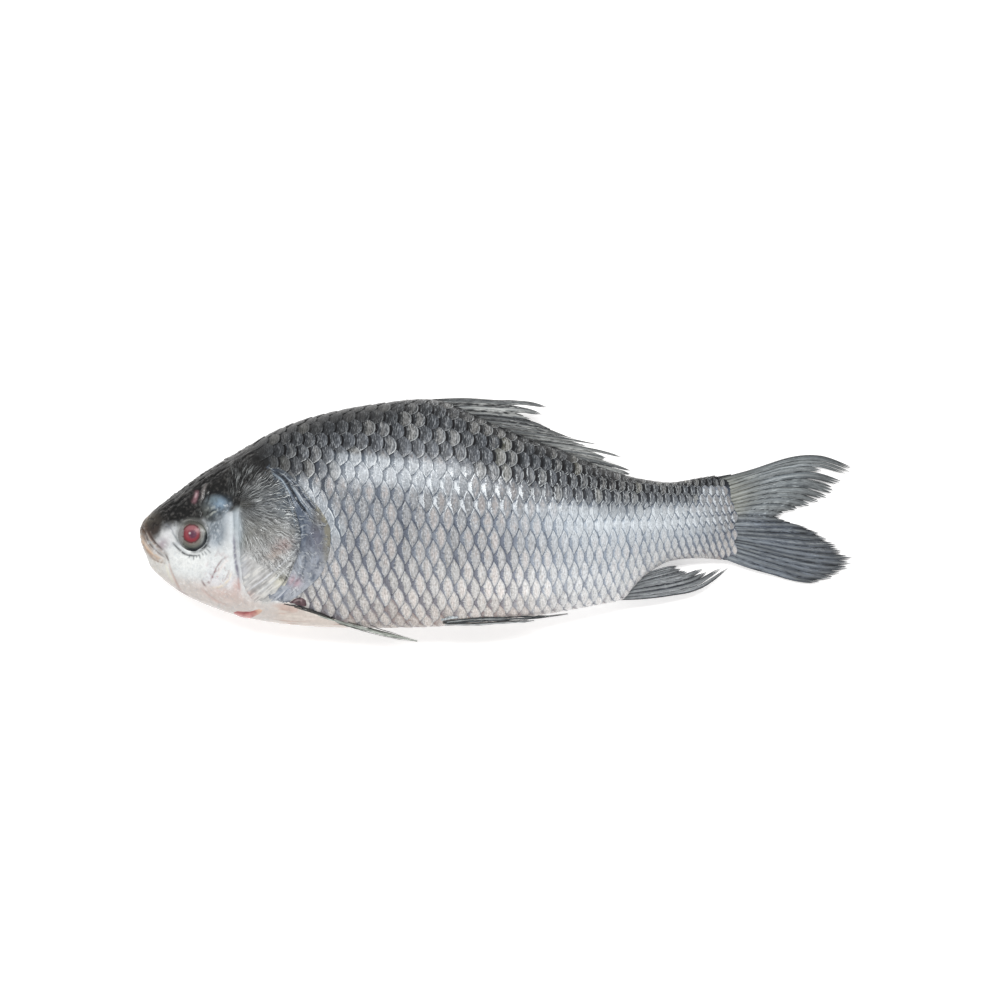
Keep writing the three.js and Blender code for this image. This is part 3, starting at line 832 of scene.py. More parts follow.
# Places on the head are millimetres from the snout's tip and above the fish's axis, as the camera
# sees them. The right side's are those of the left side, mirrored.
EYE_PLACE = (35.6, -11.3)
EYE_RADIUS = 9.9
# The gill cover's fine ridges fan out from here.
HUB = (62.5, 9.6)
# How far down the dark of the head's top reaches, along the head.
dark_edge = curve_through([
    (-0.7, -10.5), (4, -12), (8, -13.6), (12, -9.8), (15.5, -4.6), (21.6, -3.6), (28.3, -3),
    (37.8, -2.4), (43.1, 0.4), (49.2, 0.5), (55.3, 3), (60, 6), (64, 6.6), (70, 8), (87, 24), (120, 32),
])


def between_stops(a, b, c, d, t):
    """Places on a smooth curve from b to c, at shares t of the way. Stop a lies before, d after."""
    bend = (2 * a - 5 * b + 4 * c - d) * t ** 2 + (3 * b - a - 3 * c + d) * t ** 3
    return b + ((c - a) * t + bend) / 2


def path_at(stops, way):
    """Places on a smooth path through stops, at shares of the way along it."""
    stops = np.array(stops, float)
    ends = np.concatenate([2 * stops[:1] - stops[1:2], stops, 2 * stops[-1:] - stops[-2:-1]])
    place = np.asarray(way) * (len(stops) - 1)
    i = np.clip(np.floor(place).astype(int), 0, len(stops) - 2)
    return between_stops(*(ends[i + k] for k in range(4)), (place - i)[:, None])


def from_path(points, stops):
    """How far each point is from the path through stops, and its share of the way along it."""
    path = path_at(stops, np.linspace(0, 1, (len(stops) - 1) * 7 + 1))
    best = np.full(len(points), np.inf)
    way = np.zeros(len(points))
    for i, (start, step) in enumerate(zip(path[:-1], np.diff(path, axis=0))):
        t = np.clip((points - start) @ step / (step @ step), 0, 1)
        far = np.linalg.norm(points - start - t[:, None] * step, axis=1)
        nearer = far < best
        best[nearer] = far[nearer]
        way[nearer] = (i + t[nearer]) / (len(path) - 1)
    return best, way


def wander(u, v, seed):
    """Smooth noise from -1 to 1 over a plane, with lumps one unit apart."""
    lattice = np.random.default_rng(seed).uniform(-1, 1, (64, 64))
    i, j = np.floor(u).astype(int), np.floor(v).astype(int)
    s, t = u - i, v - j
    s, t = s * s * (3 - 2 * s), t * t * (3 - 2 * t)
    low, high = (
        lattice[i % 64, (j + k) % 64] * (1 - s) + lattice[(i + 1) % 64, (j + k) % 64] * s for k in (0, 1)
    )
    return low + (high - low) * t


class Coat:
    """Colour and relief laid on a surface stroke by stroke, in millimetres as the camera sees it."""

    def __init__(self, seen, colour):
        self.seen = seen
        self.colour = np.tile(srgb(*colour), (len(seen), 1))
        self.rise = np.zeros(len(seen))

    def lay(self, share, colour, strength=1.0, rise=0.0):
        self.colour += (share * strength)[:, None] * (np.array(srgb(*colour)) - self.colour)
        self.rise += share * rise

    def stroke(self, stops, width, colour, strength, rise, broken=None):
        """A soft line through stops, fainter towards its ends and where broken is high."""
        low, high = np.min(stops, axis=0) - 3 * width, np.max(stops, axis=0) + 3 * width
        near = ((self.seen > low) & (self.seen < high)).all(axis=1)
        far, way = from_path(self.seen[near], stops)
        share = np.zeros(len(self.seen))
        share[near] = np.exp(-(far / width) ** 2) * np.sin(np.pi * np.clip(way, 0, 1)) ** 0.5
        if broken is not None:
            share *= 1 - 0.6 * rising(broken, 0.0, 0.6)
        self.lay(share, colour, strength, rise)

    def patch(self, centre, radii, colour, strength, rise=0.0, turn=0.0, edge=1.0):
        """A soft oval patch. A greater edge makes its border crisper."""
        a, b = (self.seen - centre).T
        c, s = math.cos(turn), math.sin(turn)
        far = ((a * c + b * s) / radii[0]) ** 2 + ((b * c - a * s) / radii[1]) ** 2
        self.lay(np.exp(-far ** edge), colour, strength, rise)


# Centre, radii, colour, strength and turn of each soft patch of the face.
FACE_PATCHES = [
    ((51.5, -7), (8, 11), (124, 133, 141), 0.92, 0),
    ((64.6, -2), (2.6, 12), (174, 184, 191), 0.85, 0),
    ((51, -15), (5, 5), (168, 179, 190), 0.6, 0),
    ((46, 0.5), (7, 4.5), (92, 97, 98), 0.85, 0),
    ((57, 1), (5, 5), (164, 174, 184), 0.6, 0),
    ((61.6, 8.4), (3.4, 5.4), (112, 122, 132), 0.85, 0.5),
    ((20, -10), (6, 7), (216, 216, 217), 0.7, 0),
    ((17, -3), (7, 4), (132, 134, 142), 0.5, 0),
    ((32, -29), (17, 8), (232, 234, 232), 0.9, 0),
    ((10, -35), (9, 12), (208, 203, 195), 0.85, 0),
    ((58, -50), (16, 5), (200, 172, 162), 0.55, -0.3),
    ((50, -41), (4, 5), (226, 224, 226), 0.7, 0.5),
    ((60.5, -42), (2.8, 4.5), (228, 228, 232), 0.85, 0),
    ((65, -45), (3, 5), (198, 156, 146), 0.6, 0),
    ((15, -17), (3.6, 4.5), (150, 134, 142), 0.8, -0.6),
]
# The shut mouth's slit, from the snout's tip down to its corner.
SLIT = [(1, -5.1), (3.4, -10.1), (6.1, -16.2), (10.8, -21.6), (17.8, -27)]
# Path, width, colour, strength and rise of each crease, fold, line and painted shadow of the head, in
# millimetres.
HEAD_STROKES = [
    ([(2.6, -2.6), (5.4, -8.8), (8.4, -14.4), (13, -19.8), (19.6, -25.6)], 1.6, (104, 88, 80), 0.85, 0.7),
    ([(-1, -7), (1.0, -14), (4.4, -20.2), (10.2, -25.6), (17.4, -29.4)], 2.2, (166, 138, 116), 0.9, 1.0),
    ([(3.8, -4), (6.6, -10.5), (10.4, -16), (15.6, -21)], 0.55, (56, 44, 40), 0.8, -0.3),
    ([(4.2, -9), (6.8, -14), (11, -19), (17, -24)], 0.45, (206, 192, 180), 0.7, 0.2),
    ([(0.2, -11), (3.0, -17), (7.6, -22.6), (14.5, -27)], 0.5, (214, 190, 166), 0.7, 0.2),
    ([(1.4, -9), (3.4, -14), (6.6, -19), (9, -21.6)], 0.6, (120, 92, 70), 0.7, -0.2),
    ([(6, -24.5), (11.4, -28.4), (17.6, -30)], 0.5, (128, 104, 84), 0.6, -0.2),
    (SLIT, 0.6, (92, 72, 62), 0.9, -1.1),
    ([(17, -23.8), (18.8, -27), (19.8, -30)], 0.6, (84, 64, 54), 0.8, -0.4),
    ([(19, -28.4), (21, -35.1), (24.6, -43.1), (28.3, -49.2)], 0.7, (178, 146, 134), 0.65, -0.5),
    ([(17, -30), (19.4, -37), (22.8, -44)], 0.9, (228, 224, 206), 0.7, 0.2),
    ([(5, -27), (10, -35), (17, -42.5), (24, -47.5)], 0.6, (184, 168, 160), 0.45, -0.3),
    ([(24, -46), (28, -49), (33, -51.4)], 0.6, (120, 92, 90), 0.6, -0.3),
    ([(61.4, 5), (61, -1), (60.8, -8), (61, -17)], 1.5, (206, 214, 220), 0.6, 0.2),
    ([(61, -14), (61.2, -22), (61.6, -30), (60.6, -38)], 1.1, (224, 227, 229), 0.4, 0.15),
    ([(64.8, -12), (65.2, -24), (66, -34), (67.6, -44)], 1.8, (184, 186, 191), 0.8, 0.0),
    ([(61.4, 9.6), (58.4, 5.4), (55, 1.4)], 1.0, (128, 140, 152), 0.6, -0.3),
    ([(60.4, 11.6), (62, 8.2)], 1.0, (150, 160, 170), 0.6, 0.2),
    (
        [(60.6, -25.3), (56.6, -26.6), (52.6, -31), (49.6, -37), (46.8, -42.6)],
        0.55, (132, 104, 108), 0.75, -0.4,
    ),
    ([(60, -27.6), (57, -29.4), (54.4, -33.5), (51.6, -39)], 0.9, (234, 226, 222), 0.7, 0.4),
    ([(61.6, -35), (59.6, -41), (54.4, -45.6), (47.5, -46.6)], 0.8, (226, 212, 190), 0.8, 0.4),
    ([(60.6, -34), (58, -39.6), (55.6, -43)], 0.5, (150, 122, 112), 0.6, -0.3),
    ([(40.5, -46.5), (50.6, -54.6), (60, -58.6)], 0.9, (186, 152, 142), 0.5, -0.4),
    ([(41.3, -41), (43, -44), (45, -46)], 0.6, (104, 66, 66), 0.7, -0.3),
    ([(45.6, -42.2), (47, -43.6)], 0.7, (104, 40, 44), 0.9, -0.3),
    ([(50, -34.8), (50.8, -36.2)], 0.6, (120, 74, 80), 0.8, -0.2),
    ([(48.4, -38.6), (49.4, -40)], 0.6, (126, 78, 84), 0.8, -0.2),
    ([(28.4, -1.8), (33.7, -0.7), (38.6, -2)], 0.5, (214, 212, 204), 0.9, 0.5),
    ([(25.6, -4.5), (29, -1), (34, 0.9), (40, -0.6), (43.4, -3.4)], 0.7, (40, 40, 40), 0.8, -0.5),
    ([(42.2, 0), (43.6, -5), (44.4, -10)], 0.9, (178, 182, 188), 0.7, 0.4),
    ([(45.2, -3), (46.3, -9), (45.8, -14), (43.6, -18.6)], 0.7, (70, 78, 84), 0.85, -0.6),
    # These two strokes are painted shadow: the dark crescent under the eye's lower rim.
    ([(46.2, -12), (44.6, -17.6), (40.2, -21.4), (34, -22.4)], 1.1, (26, 31, 35), 1.0, -0.8),
    ([(38, -24.8), (33, -24.6), (28.6, -22.6), (24.2, -18.6), (21.6, -15.6)], 0.7, (22, 27, 32), 1.0, -0.6),
    ([(33.6, -23.4), (29.4, -21.4), (25.4, -17.8)], 0.5, (206, 212, 214), 0.8, 0.3),
    ([(41, -24.4), (36.6, -24.9), (33, -24.2)], 0.5, (40, 46, 52), 0.8, -0.3),
    ([(21, -8.2), (24, -12.2), (26.6, -16.4), (29.6, -19.4)], 0.55, (84, 94, 104), 0.8, -0.3),
    ([(22.4, -8.4), (25.6, -13.4), (28.6, -17)], 0.7, (190, 198, 202), 0.6, 0.3),
    ([(17, -3.5), (20, -5.6), (23, -9.6)], 0.45, (120, 124, 132), 0.7, -0.2),
    ([(51.4, -14), (54.6, -17.9)], 0.5, (92, 100, 108), 0.7, -0.2),
    ([(52.6, -9), (53.6, -13.4), (51, -17)], 0.45, (120, 130, 138), 0.5, -0.2),
    ([(38.8, 19.6), (37.8, 14.8), (35.5, 10.2)], 1.5, (136, 98, 106), 0.95, -0.9),
    ([(38.4, 18), (37.2, 14)], 0.7, (196, 170, 174), 0.7, 0.0),
    ([(44.9, 24.2), (42.6, 18.9), (41.1, 12.1)], 0.9, (128, 122, 120), 0.75, 0.9),
    ([(40.6, 20), (39.9, 15), (38.8, 10.5)], 0.6, (22, 18, 20), 0.9, -0.8),
    ([(46.9, 21), (46.6, 15), (44.5, 9)], 0.7, (18, 19, 21), 0.9, -0.6),
    ([(40.6, 8.6), (41.8, 3.6), (41.4, 0)], 0.6, (20, 21, 22), 0.8, -0.5),
    ([(44, 6.4), (45.8, 4.2), (44.6, 2)], 0.5, (26, 28, 28), 0.8, -0.5),
    ([(46.4, 3.2), (49, 5.6), (52, 6.4)], 0.5, (28, 32, 34), 0.8, -0.5),
    ([(47, 2), (49.4, 4.4), (52, 5)], 0.5, (176, 180, 172), 0.8, 0.4),
    ([(42.6, -0.4), (48, -1.2), (52.4, -0.6), (57, 1.8)], 0.6, (66, 72, 76), 0.7, -0.3),
]
# Bearing from the eye, and the distances from it between which each short crease under it lies.
HATCHES = [
    (-100, 13.2, 15.4), (-88, 13.2, 16.6), (-80, 13.4, 15.2), (-72, 13, 16.6), (-62, 12.6, 15.4),
    (-54, 12.6, 16.4), (-44, 12.2, 17), (-34, 12, 14.4),
]
# The edge between cheek and gill cover runs over both.
HINGE_STROKES = [
    ([(64.4, 9), (66.6, 1), (67.4, -8), (67, -20), (67.6, -34)], 3.2, (150, 158, 162), 0.75, 0.0),
    ([(64.6, 5), (66.6, -1), (67.4, -8), (66.8, -16)], 2.0, (172, 182, 189), 0.75, 0.1),
    ([(62.8, 6), (63.4, -4), (63.8, -11)], 0.6, (130, 140, 148), 0.75, -0.3),
    ([(63.0, -10), (63.4, -17), (63.9, -24), (64.6, -31), (65.6, -38)], 0.8, (92, 88, 110), 0.9, -0.7),
    ([(65.2, -30), (65.8, -36), (66.6, -41)], 0.8, (88, 80, 104), 0.7, -0.3),
    ([(65.2, -20), (66, -28), (67.2, -36)], 0.7, (208, 208, 214), 0.45, 0.2),
    ([(66.2, -39), (66.6, -44), (67.4, -49)], 0.7, (178, 128, 120), 0.6, 0.0),
]


def from_middle(points):
    """How far points lie from the plane between the fish's two sides, in millimetres."""
    middle = middle_at(share_at(points[:, 0]))
    return np.abs(points[:, 2] - middle) / MM


def head_coat(seen, over):
    """The colours and the relief of the head's skin. Over is the distance from its middle plane,
    which the wrinkles follow where the skin turns over the back and the breast."""
    a, b = seen.T
    coat = Coat(seen, (216, 219, 219))
    patchy = wander(a / 6, b / 6, 3) + 0.5 * wander(a / 2.2, b / 2.2, 4)
    fine = wander(a / 1.1, b / 1.1, 5)
    coat.lay(rising(patchy, -0.2, 1.2), (192, 199, 205), 0.5)
    coat.lay(rising(-b - 0.30 * a, 26, 36), (204, 192, 184), 0.75)
    for centre, radii, colour, strength, turn in FACE_PATCHES:
        coat.patch(centre, radii, colour, strength, turn=turn)
    coat.patch((51, -7.5), (7.5, 9), (132, 141, 150), 0.7, edge=1.8)
    coat.patch((26.6, -10), (2.6, 6.5), (140, 142, 146), 0.75)
    coat.lay(rising(fine, 0.3, 0.9), (168, 176, 184), 0.22)
    # Behind the eye the wet skin is mottled grey.
    mottled = np.exp(-((a - 50.5) / 6) ** 4 - ((b + 7) / 8) ** 4)
    dabs = wander(a / 0.9 + 0.5 * patchy, b / 1.3, 18) + 0.5 * wander(a / 0.5, b / 0.6, 19)
    coat.lay(rising(dabs, 0.1, 0.8) * mottled, (196, 202, 205), 0.6, 0.12)
    coat.lay(rising(-dabs, 0.1, 0.8) * mottled, (88, 96, 102), 0.6, -0.12)
    # Blood vessels make a pink net under the thin skin by the corner of the cheek.
    veins = wander(a / 2.6 + 0.5 * patchy, b / 3.4 + 0.4 * fine, 16)
    by_corner = np.exp(-((a - 53) / 8) ** 2 - ((b + 36) / 11) ** 2)
    coat.lay((1 - rising(np.abs(veins), 0.03, 0.13)) * by_corner, (176, 128, 130), 0.6, -0.15)
    coat.lay(rising(np.abs(veins), 0.3, 0.7) * by_corner, (234, 232, 234), 0.5, 0.15)
    # Painted wet highlights: pale streaks on the lower face, with duller streaks between them.
    wet = wander((a + b) / 1.1, (a - b) / 2.6, 17)
    coat.lay(rising(wet, 0.45, 0.85) * rising(-b, 6, 20), (240, 242, 242), 0.35, 0.1)
    coat.lay(rising(-wet, 0.5, 0.9) * rising(-b, 6, 20), (178, 184, 190), 0.3, -0.1)
    soft = 1 + 1.3 * rising(26 - a, 0, 10)
    top = rising(b - dark_edge(a) + 1.3 * patchy + 0.5 * fine, -2.8 * soft, 2.2 * soft)
    coat.lay(top, (17, 17, 17))
    coat.patch((7, 0.5), (7, 7), (88, 82, 74), 0.6)
    coat.patch((10, -8), (4, 5.5), (62, 54, 50), 0.85, turn=-0.4)
    coat.patch((3.2, 1.6), (2.4, 4.2), (156, 142, 124), 0.8, turn=-0.5)
    coat.patch((2.2, -6), (1.8, 4), (128, 112, 98), 0.7)
    # Wet wrinkles run along the head's profile, with painted highlights on them and darker lines between
    # them.
    back, _ = edges_at(a * MM / LENGTH)
    under_profile = back / MM - b
    run, across = a * 0.85 + b * 0.52, under_profile + 0.8 * wander(a / 9, b / 9, 6)
    ripple = wander(run / 7, across / 0.95, 8) + 0.5 * wander(run / 3, across / 0.7, 9)
    near_profile = rising(14 - under_profile, 0, 9)
    turned = rising(5 - under_profile, 0, 4)
    ridge_ripple = wander(a / 6 + 0.3 * patchy, over / 1.5, 22) + 0.5 * wander(a / 2.6, over / 0.9, 23)
    ripple += (ridge_ripple - ripple) * turned
    coat.lay(rising(ripple, 0.2, 0.75) * rising(a, 6, 20) * near_profile * top, (74, 72, 70), 0.8, 0.4)
    coat.lay(rising(-ripple, 0.3, 0.8) * rising(a, 6, 20) * near_profile * top, (10, 10, 11), 0.8, -0.3)
    curls = wander(a / 1.3 + 0.6 * patchy, b / 1.3, 12) + 0.5 * wander(a / 0.7, b / 0.7, 13)
    curls += (wander(a / 1.3, over / 1.3, 24) - curls) * turned
    coat.lay(rising(curls, 0.3, 0.8) * top * rising(a, 10, 20), (86, 84, 82), 0.5, 0.25)
    coat.lay(rising(-curls, 0.3, 0.8) * top, (8, 8, 9), 0.6, -0.2)
    # The nape runs out into the scales.
    coat.lay(rising(a, 60, 74) * rising(b, 20, 30) * rising(ripple, -0.6, 0.2), (22, 22, 23), 0.75)
    coat.patch((50.6, 8), (8.0, 7.6), (96, 106, 114), 0.9, 1.2, edge=2.2)
    coat.patch((45.6, 6), (4, 5), (84, 84, 76), 0.7)
    coat.patch((54, 10.6), (4.6, 3.6), (134, 158, 180), 0.8)
    coat.patch((50, 13), (4, 2.4), (110, 126, 134), 0.7)
    dimples = wander(a / 1.2 + b / 4, b / 1.5, 15)
    bulge = np.exp(-((a - 50) / 8) ** 2 - ((b - 6) / 8) ** 2)
    coat.lay(rising(dimples, 0.2, 0.7) * bulge, (168, 174, 172), 0.5, 0.25)
    coat.lay(rising(-dimples, 0.3, 0.8) * bulge, (42, 46, 50), 0.6, -0.2)
    rim = [(41.9, 9.5), (43.4, 14.4), (48.8, 17.6), (55.6, 16.6), (60.8, 11)]
    coat.stroke(rim, 0.8, (18, 20, 22), 0.95, -0.5)
    broken = 0.5 * fine + 0.6 * wander(a / 2, b / 2, 20)
    for stops, width, colour, strength, rise in HEAD_STROKES + HINGE_STROKES:
        coat.stroke(stops, width, colour, strength, rise, broken)
    for bearing, near, far in HATCHES:
        c, s = math.cos(math.radians(bearing)), math.sin(math.radians(bearing))
        ends = [(EYE_PLACE[0] + c * r, EYE_PLACE[1] + s * r) for r in (near, far)]
        coat.stroke(ends, 0.42, (62, 70, 78), 0.8, -0.2)
    eye = np.hypot(a - EYE_PLACE[0], b - EYE_PLACE[1])
    around = np.exp(-((eye - EYE_RADIUS - 0.6) / 1.5) ** 2)
    coat.lay(around * rising(b - EYE_PLACE[1] - 0.4 * (a - EYE_PLACE[0]), -4, 3), (140, 141, 138), 0.6)
    coat.lay(around * rising(b - EYE_PLACE[1], 4, 9), (58, 58, 55), 0.7)
    coat.lay(rising(EYE_RADIUS - eye, -0.2, 0.9), (112, 116, 114), 0.9, -1.5)
    # The flesh of the breast, behind the throat.
    breast = rising(a, 84, 98) * rising(-b, 54, 59)
    coat.lay(breast, (212, 200, 190), 0.9)
    folds = wander(a / 8 + 0.4 * patchy, over / 2.4 + b / 3, 21)
    coat.lay(rising(folds, 0.2, 0.8) * breast, (186, 150, 138), 0.55, 0.25)
    coat.lay(rising(-folds, 0.3, 0.8) * breast, (226, 218, 208), 0.6, 0.2)
    return coat


def skin_normals(share, girth):
    """Outward unit normals of the skin."""
    step, turn = 0.0008, 0.003
    along = skin_points(share + step, girth) - skin_points(share - step, girth)
    return unit(np.cross(along, skin_points(share, girth + turn) - skin_points(share, girth - turn)))


def head_place(u, girth):
    share = head_column(u)
    flat = skin_points(share, girth)
    # The skin dives under the first scales.
    start = scale_start(height_on_side(flat))
    dive = rising(share, start - 0.022, start - 0.006)
    rise = head_coat(seen_from_left(flat), from_middle(flat)).rise * MM - dive * 1.25 * SCALE_BED
    normal = skin_normals(np.maximum(share, 0.001), girth)
    return settled(flat + normal * rise[:, None])


def flesh_finish(name, roughness, fibres=0.0):
    """Wet skin in the colours that are laid on the piece, with fine pores. Where the piece is
    painted with a fan (bearing and distance from its hub, and strength), fine lines follow it."""
    made = Finish(name, Coat_Roughness=0.09)
    mottle = made.noise(made.place(), 260.0, 4.0, 0.6)
    pores = made.noise(made.place(), 1300.0, 3.0, 0.6)
    colour = made.scaled(made.vector("coat"), 0.62 + mottle * 0.5 + pores * 0.26)
    relief = pores + mottle * 1.5
    if fibres:
        bearing, far, strength = made.parts("fan")
        bent = bearing + (mottle - 0.5) * 0.1
        lines = made.noise(made.join(bent * fibres, far * 0.09, 0), 1.0, 2.5, 0.6)
        light, dark = lines.between(0.52, 0.6), 1 - lines.between(0.38, 0.47)
        lit = made.mix(light * strength * 0.62, colour, srgb(216, 220, 220))
        colour = made.mix(dark * strength * 0.45, lit, srgb(38, 40, 42))
        relief = relief + (light - dark) * strength * 2
    made.feed("Base Color", colour)
    made.feed("Roughness", roughness + mottle * 0.2)
    made.feed("Coat Weight", 0.25 + pores * 0.6)
    made.relief(relief, 0.00022)
    return made.material


def fan_over(seen, strength):
    """Bearing and distance from the gill cover's hinge, for the fine lines that fan out from it."""
    across, up = (seen - HUB).T
    bearing = np.arctan2(up, across) + 0.035 * wander(seen[:, 0] / 4, seen[:, 1] / 4, 48)
    return np.stack([bearing, np.hypot(across, up), strength], axis=1)


head_material = flesh_finish("head_skin", roughness=0.26, fibres=46)
head_mesh = sleeve(HEAD_COLUMNS, HEAD_ROWS, head_place)
head_points = points_of(head_mesh)
head_seen = seen_from_left(head_points)
paint(head_mesh, "coat", head_coat(head_seen, from_middle(head_points)).colour)
# Some of the lines run on over the dark skin above the gill cover.
hub_far = np.hypot(head_seen[:, 0] - HUB[0], head_seen[:, 1] - HUB[1])
above = rising(hub_far, 4, 9) * rising(36 - hub_far, 0, 16) * rising(head_seen[:, 1], 11, 15)
paint(head_mesh, "fan", fan_over(head_seen, 0.55 * above * rising(head_seen[:, 0], 58, 63)))
piece("head_skin", head_mesh, head_material)


# ------------------------------------------------------------------ eyes
# Each eyeball sits in a socket of the skull under a clear, wet cornea. Round the blood-red middle
# with its dark, offset pupil lies a grey-green ring. It is one turned solid, in one finish.

EYE_STEPS = 96
EYE_PROFILE = [
    (0, 2.3), (2, 2.24), (4, 2.0), (5.8, 1.62), (7.4, 1.12), (8.8, 0.52), (9.9, -0.2), (10.5, -1.2),
    (9.4, -4.2), (6.5, -6.6), (3, -7.8), (0, -8),
]
EYE_PROFILE_STEPS = 70


def flank_height(x, y):
    """How high the left flank stands above the slab."""
    share = share_at(x)
    back, belly = edges_at(share)
    off = np.clip(np.abs((2 * y - back - belly) / (back - belly)), 0, 0.995)
    rise = (1 - off ** SECTION_FULLNESS) ** (1 / SECTION_FULLNESS)
    return middle_at(share) + half_thickness(share) * HALF_THICKNESS * rise


def in_metres(seen):
    """Seen places in metres, as x and y at the height of the view's centre."""
    return SNOUT_X + seen[:, 0] * MM, seen[:, 1] * MM


def under_camera(seen, z):
    """The x and y of points at height z that the camera sees at these places."""
    a, b = in_metres(seen)
    nearer = 1 - (z - VIEW_CENTRE.z) / CAMERA_HEIGHT
    return VIEW_CENTRE.x + (a - VIEW_CENTRE.x) * nearer, VIEW_CENTRE.y + (b - VIEW_CENTRE.y) * nearer


def on_flank(seen, lift):
    """Points of the left flank at these seen places, lifted off it along its normals."""
    x, y = in_metres(seen)
    # The place depends on the height there, so it is found in a few rounds.
    for _ in range(5):
        x, y = under_camera(seen, flank_height(x, y))
    step = 0.0004
    along = (flank_height(x + step, y) - flank_height(x - step, y)) / (2 * step)
    across = (flank_height(x, y + step) - flank_height(x, y - step)) / (2 * step)
    normal = unit(np.stack([-along, -across, np.ones_like(x)], axis=1))
    return np.stack([x, y, flank_height(x, y)], axis=1) + normal * np.reshape(lift, (-1, 1))


def other_side(points):
    """The same points on the right side of the fish."""
    mirrored = points.copy()
    mirrored[:, 2] = 2 * middle_at(share_at(points[:, 0])) - points[:, 2]
    return mirrored


def on_side(mesh, side, points):
    """Sets the mesh's points, given for the left side, on that side."""
    set_points(mesh, settled(points if side > 0 else other_side(points)))
    if side < 0:
        mesh.flip_normals()
    return mesh


def eyeball(name, side, finish):
    """The ball, turned from its profile, set into its socket and tipped to face more straight out."""
    shape = bmesh.new()
    profile = path_at(EYE_PROFILE, np.linspace(0, 1, EYE_PROFILE_STEPS))
    chain = [shape.verts.new((max(radius, 0) * MM, 0, height * MM)) for radius, height in profile]
    for upper, lower in zip(chain, chain[1:]):
        shape.edges.new((upper, lower))
    bmesh.ops.spin(
        shape, geom=shape.verts[:] + shape.edges[:], cent=(0, 0, 0), axis=(0, 0, 1),
        dvec=(0, 0, 0), angle=2 * math.pi, steps=EYE_STEPS, use_merge=True, use_duplicate=False,
    )
    bmesh.ops.remove_doubles(shape, verts=shape.verts[:], dist=SEWN_WITHIN)
    mesh = mesh_of(shape)
    own = points_of(mesh)
    centre = on_flank(np.array([EYE_PLACE]), 0.0)[0]
    outer = on_flank(np.array([EYE_PLACE]), 1.0)[0] - centre
    axis = Vector(outer).lerp(Vector((0, 0, 1)), 0.35).normalized()
    turned = own @ np.array(Vector((0, 0, 1)).rotation_difference(axis).to_matrix()).T
    paint(mesh, "disc", own / MM)
    on_side(mesh, side, turned + centre)
    return piece(name + "_ball", mesh, finish, stands_for=name)


def eye_finish():
    """A blood-red middle with a dark pupil, in a creased, grey-green ring."""
    made = Finish("eye", Roughness=0.24, Coat_Weight=0.35, Coat_Roughness=0.12)
    x, y, _ = made.parts("disc")

    def far_from(across, up):
        return ((x - across) * (x - across) + (y - up) * (y - up)).root()

    mottle = made.noise(made.vector("disc"), 0.6, 4.0, 0.6)
    fine = made.noise(made.vector("disc"), 2.2, 3.0, 0.6)
    # The red middle looks out above the ring's own centre.
    far = far_from(-0.4, 1.5)
    from_centre = far_from(0, 0)
    rings = made.ramp((far - 0.5 + (mottle - 0.5) * 1.9) / 12, [
        (0.0, srgb(116, 62, 68)), (0.26, srgb(140, 68, 76)), (0.4, srgb(114, 48, 54)),
        (0.47, srgb(84, 54, 54)), (0.53, srgb(122, 112, 106)), (0.62, srgb(108, 106, 99)),
        (0.74, srgb(86, 90, 84)), (0.9, srgb(96, 99, 94)), (1.0, srgb(112, 116, 114)),
    ])
    in_disc = 1 - far.between(5.0, 5.9)
    # Pale glare lies on its upper part, and blood has settled in the lower.
    glared = made.mix((y - 1.2).between(0.5, 4.5) * in_disc * 0.4, rings, srgb(166, 126, 130))
    bloody = made.mix((1.2 - y).between(1.0, 4.4) * in_disc * 0.65, glared, srgb(134, 46, 56))
    pupil = made.mix((1 - far_from(0.6, 0.9).between(1.6, 3.8)) * 0.8, bloody, srgb(84, 56, 76))
    # A painted wet sheen lies on the ring's right side, next to the red middle.
    wet = x.between(4, 8) * far.between(6.0, 6.8) * (0.5 - 0.5 * from_centre.between(8.2, 9.2))
    ringed = made.mix(wet, pupil, srgb(158, 162, 162))
    lines = made.noise(made.join(from_centre * 2.2, (x + y) * 0.2, 0), 1.0, 3.0, 0.6)
    creased = made.mix((1 - in_disc) * (1 - lines.between(0.38, 0.5)) * 0.45, ringed, srgb(62, 66, 66))
    fold = (0 - x + (mottle - 0.5) * 8).between(4.6, 8) * (1 - in_disc)
    creased = made.mix(fold * 0.7, creased, srgb(138, 137, 138))
    lidded = (y + (mottle - 0.5) * 4).between(6.2, 8.6)
    creased = made.mix(lidded * 0.75, creased, srgb(62, 62, 58))
    # A painted shadow falls into the socket along the ring's lower right.
    shade = (0 - y + x * 0.8).between(3, 8) * from_centre.between(7.4, 9.0)
    rimmed = made.mix(shade * 0.95, creased, srgb(24, 29, 34))
    # A small painted highlight glints on the cornea.
    glint_spot = made.mix((1 - far_from(-1.5, 1.7).between(0.2, 1.2)) * 0.8, rimmed, srgb(200, 190, 190))
    made.feed("Base Color", made.scaled(glint_spot, 0.6 + mottle * 0.45 + fine * 0.35))
    made.relief(mottle + fine * 0.3, 0.0003, 0.7)
    return made.material


eye_material = eye_finish()
for side_name, side in SIDES:
    eyeball(f"eye_{side_name}", side, eye_material)


# ------------------------------------------------------------------ gill membranes
# A soft, blue-grey flap of skin along the rear edge of each gill cover. It lies over the first
# scales, wrinkles into a few long folds, and closes the gill's opening.

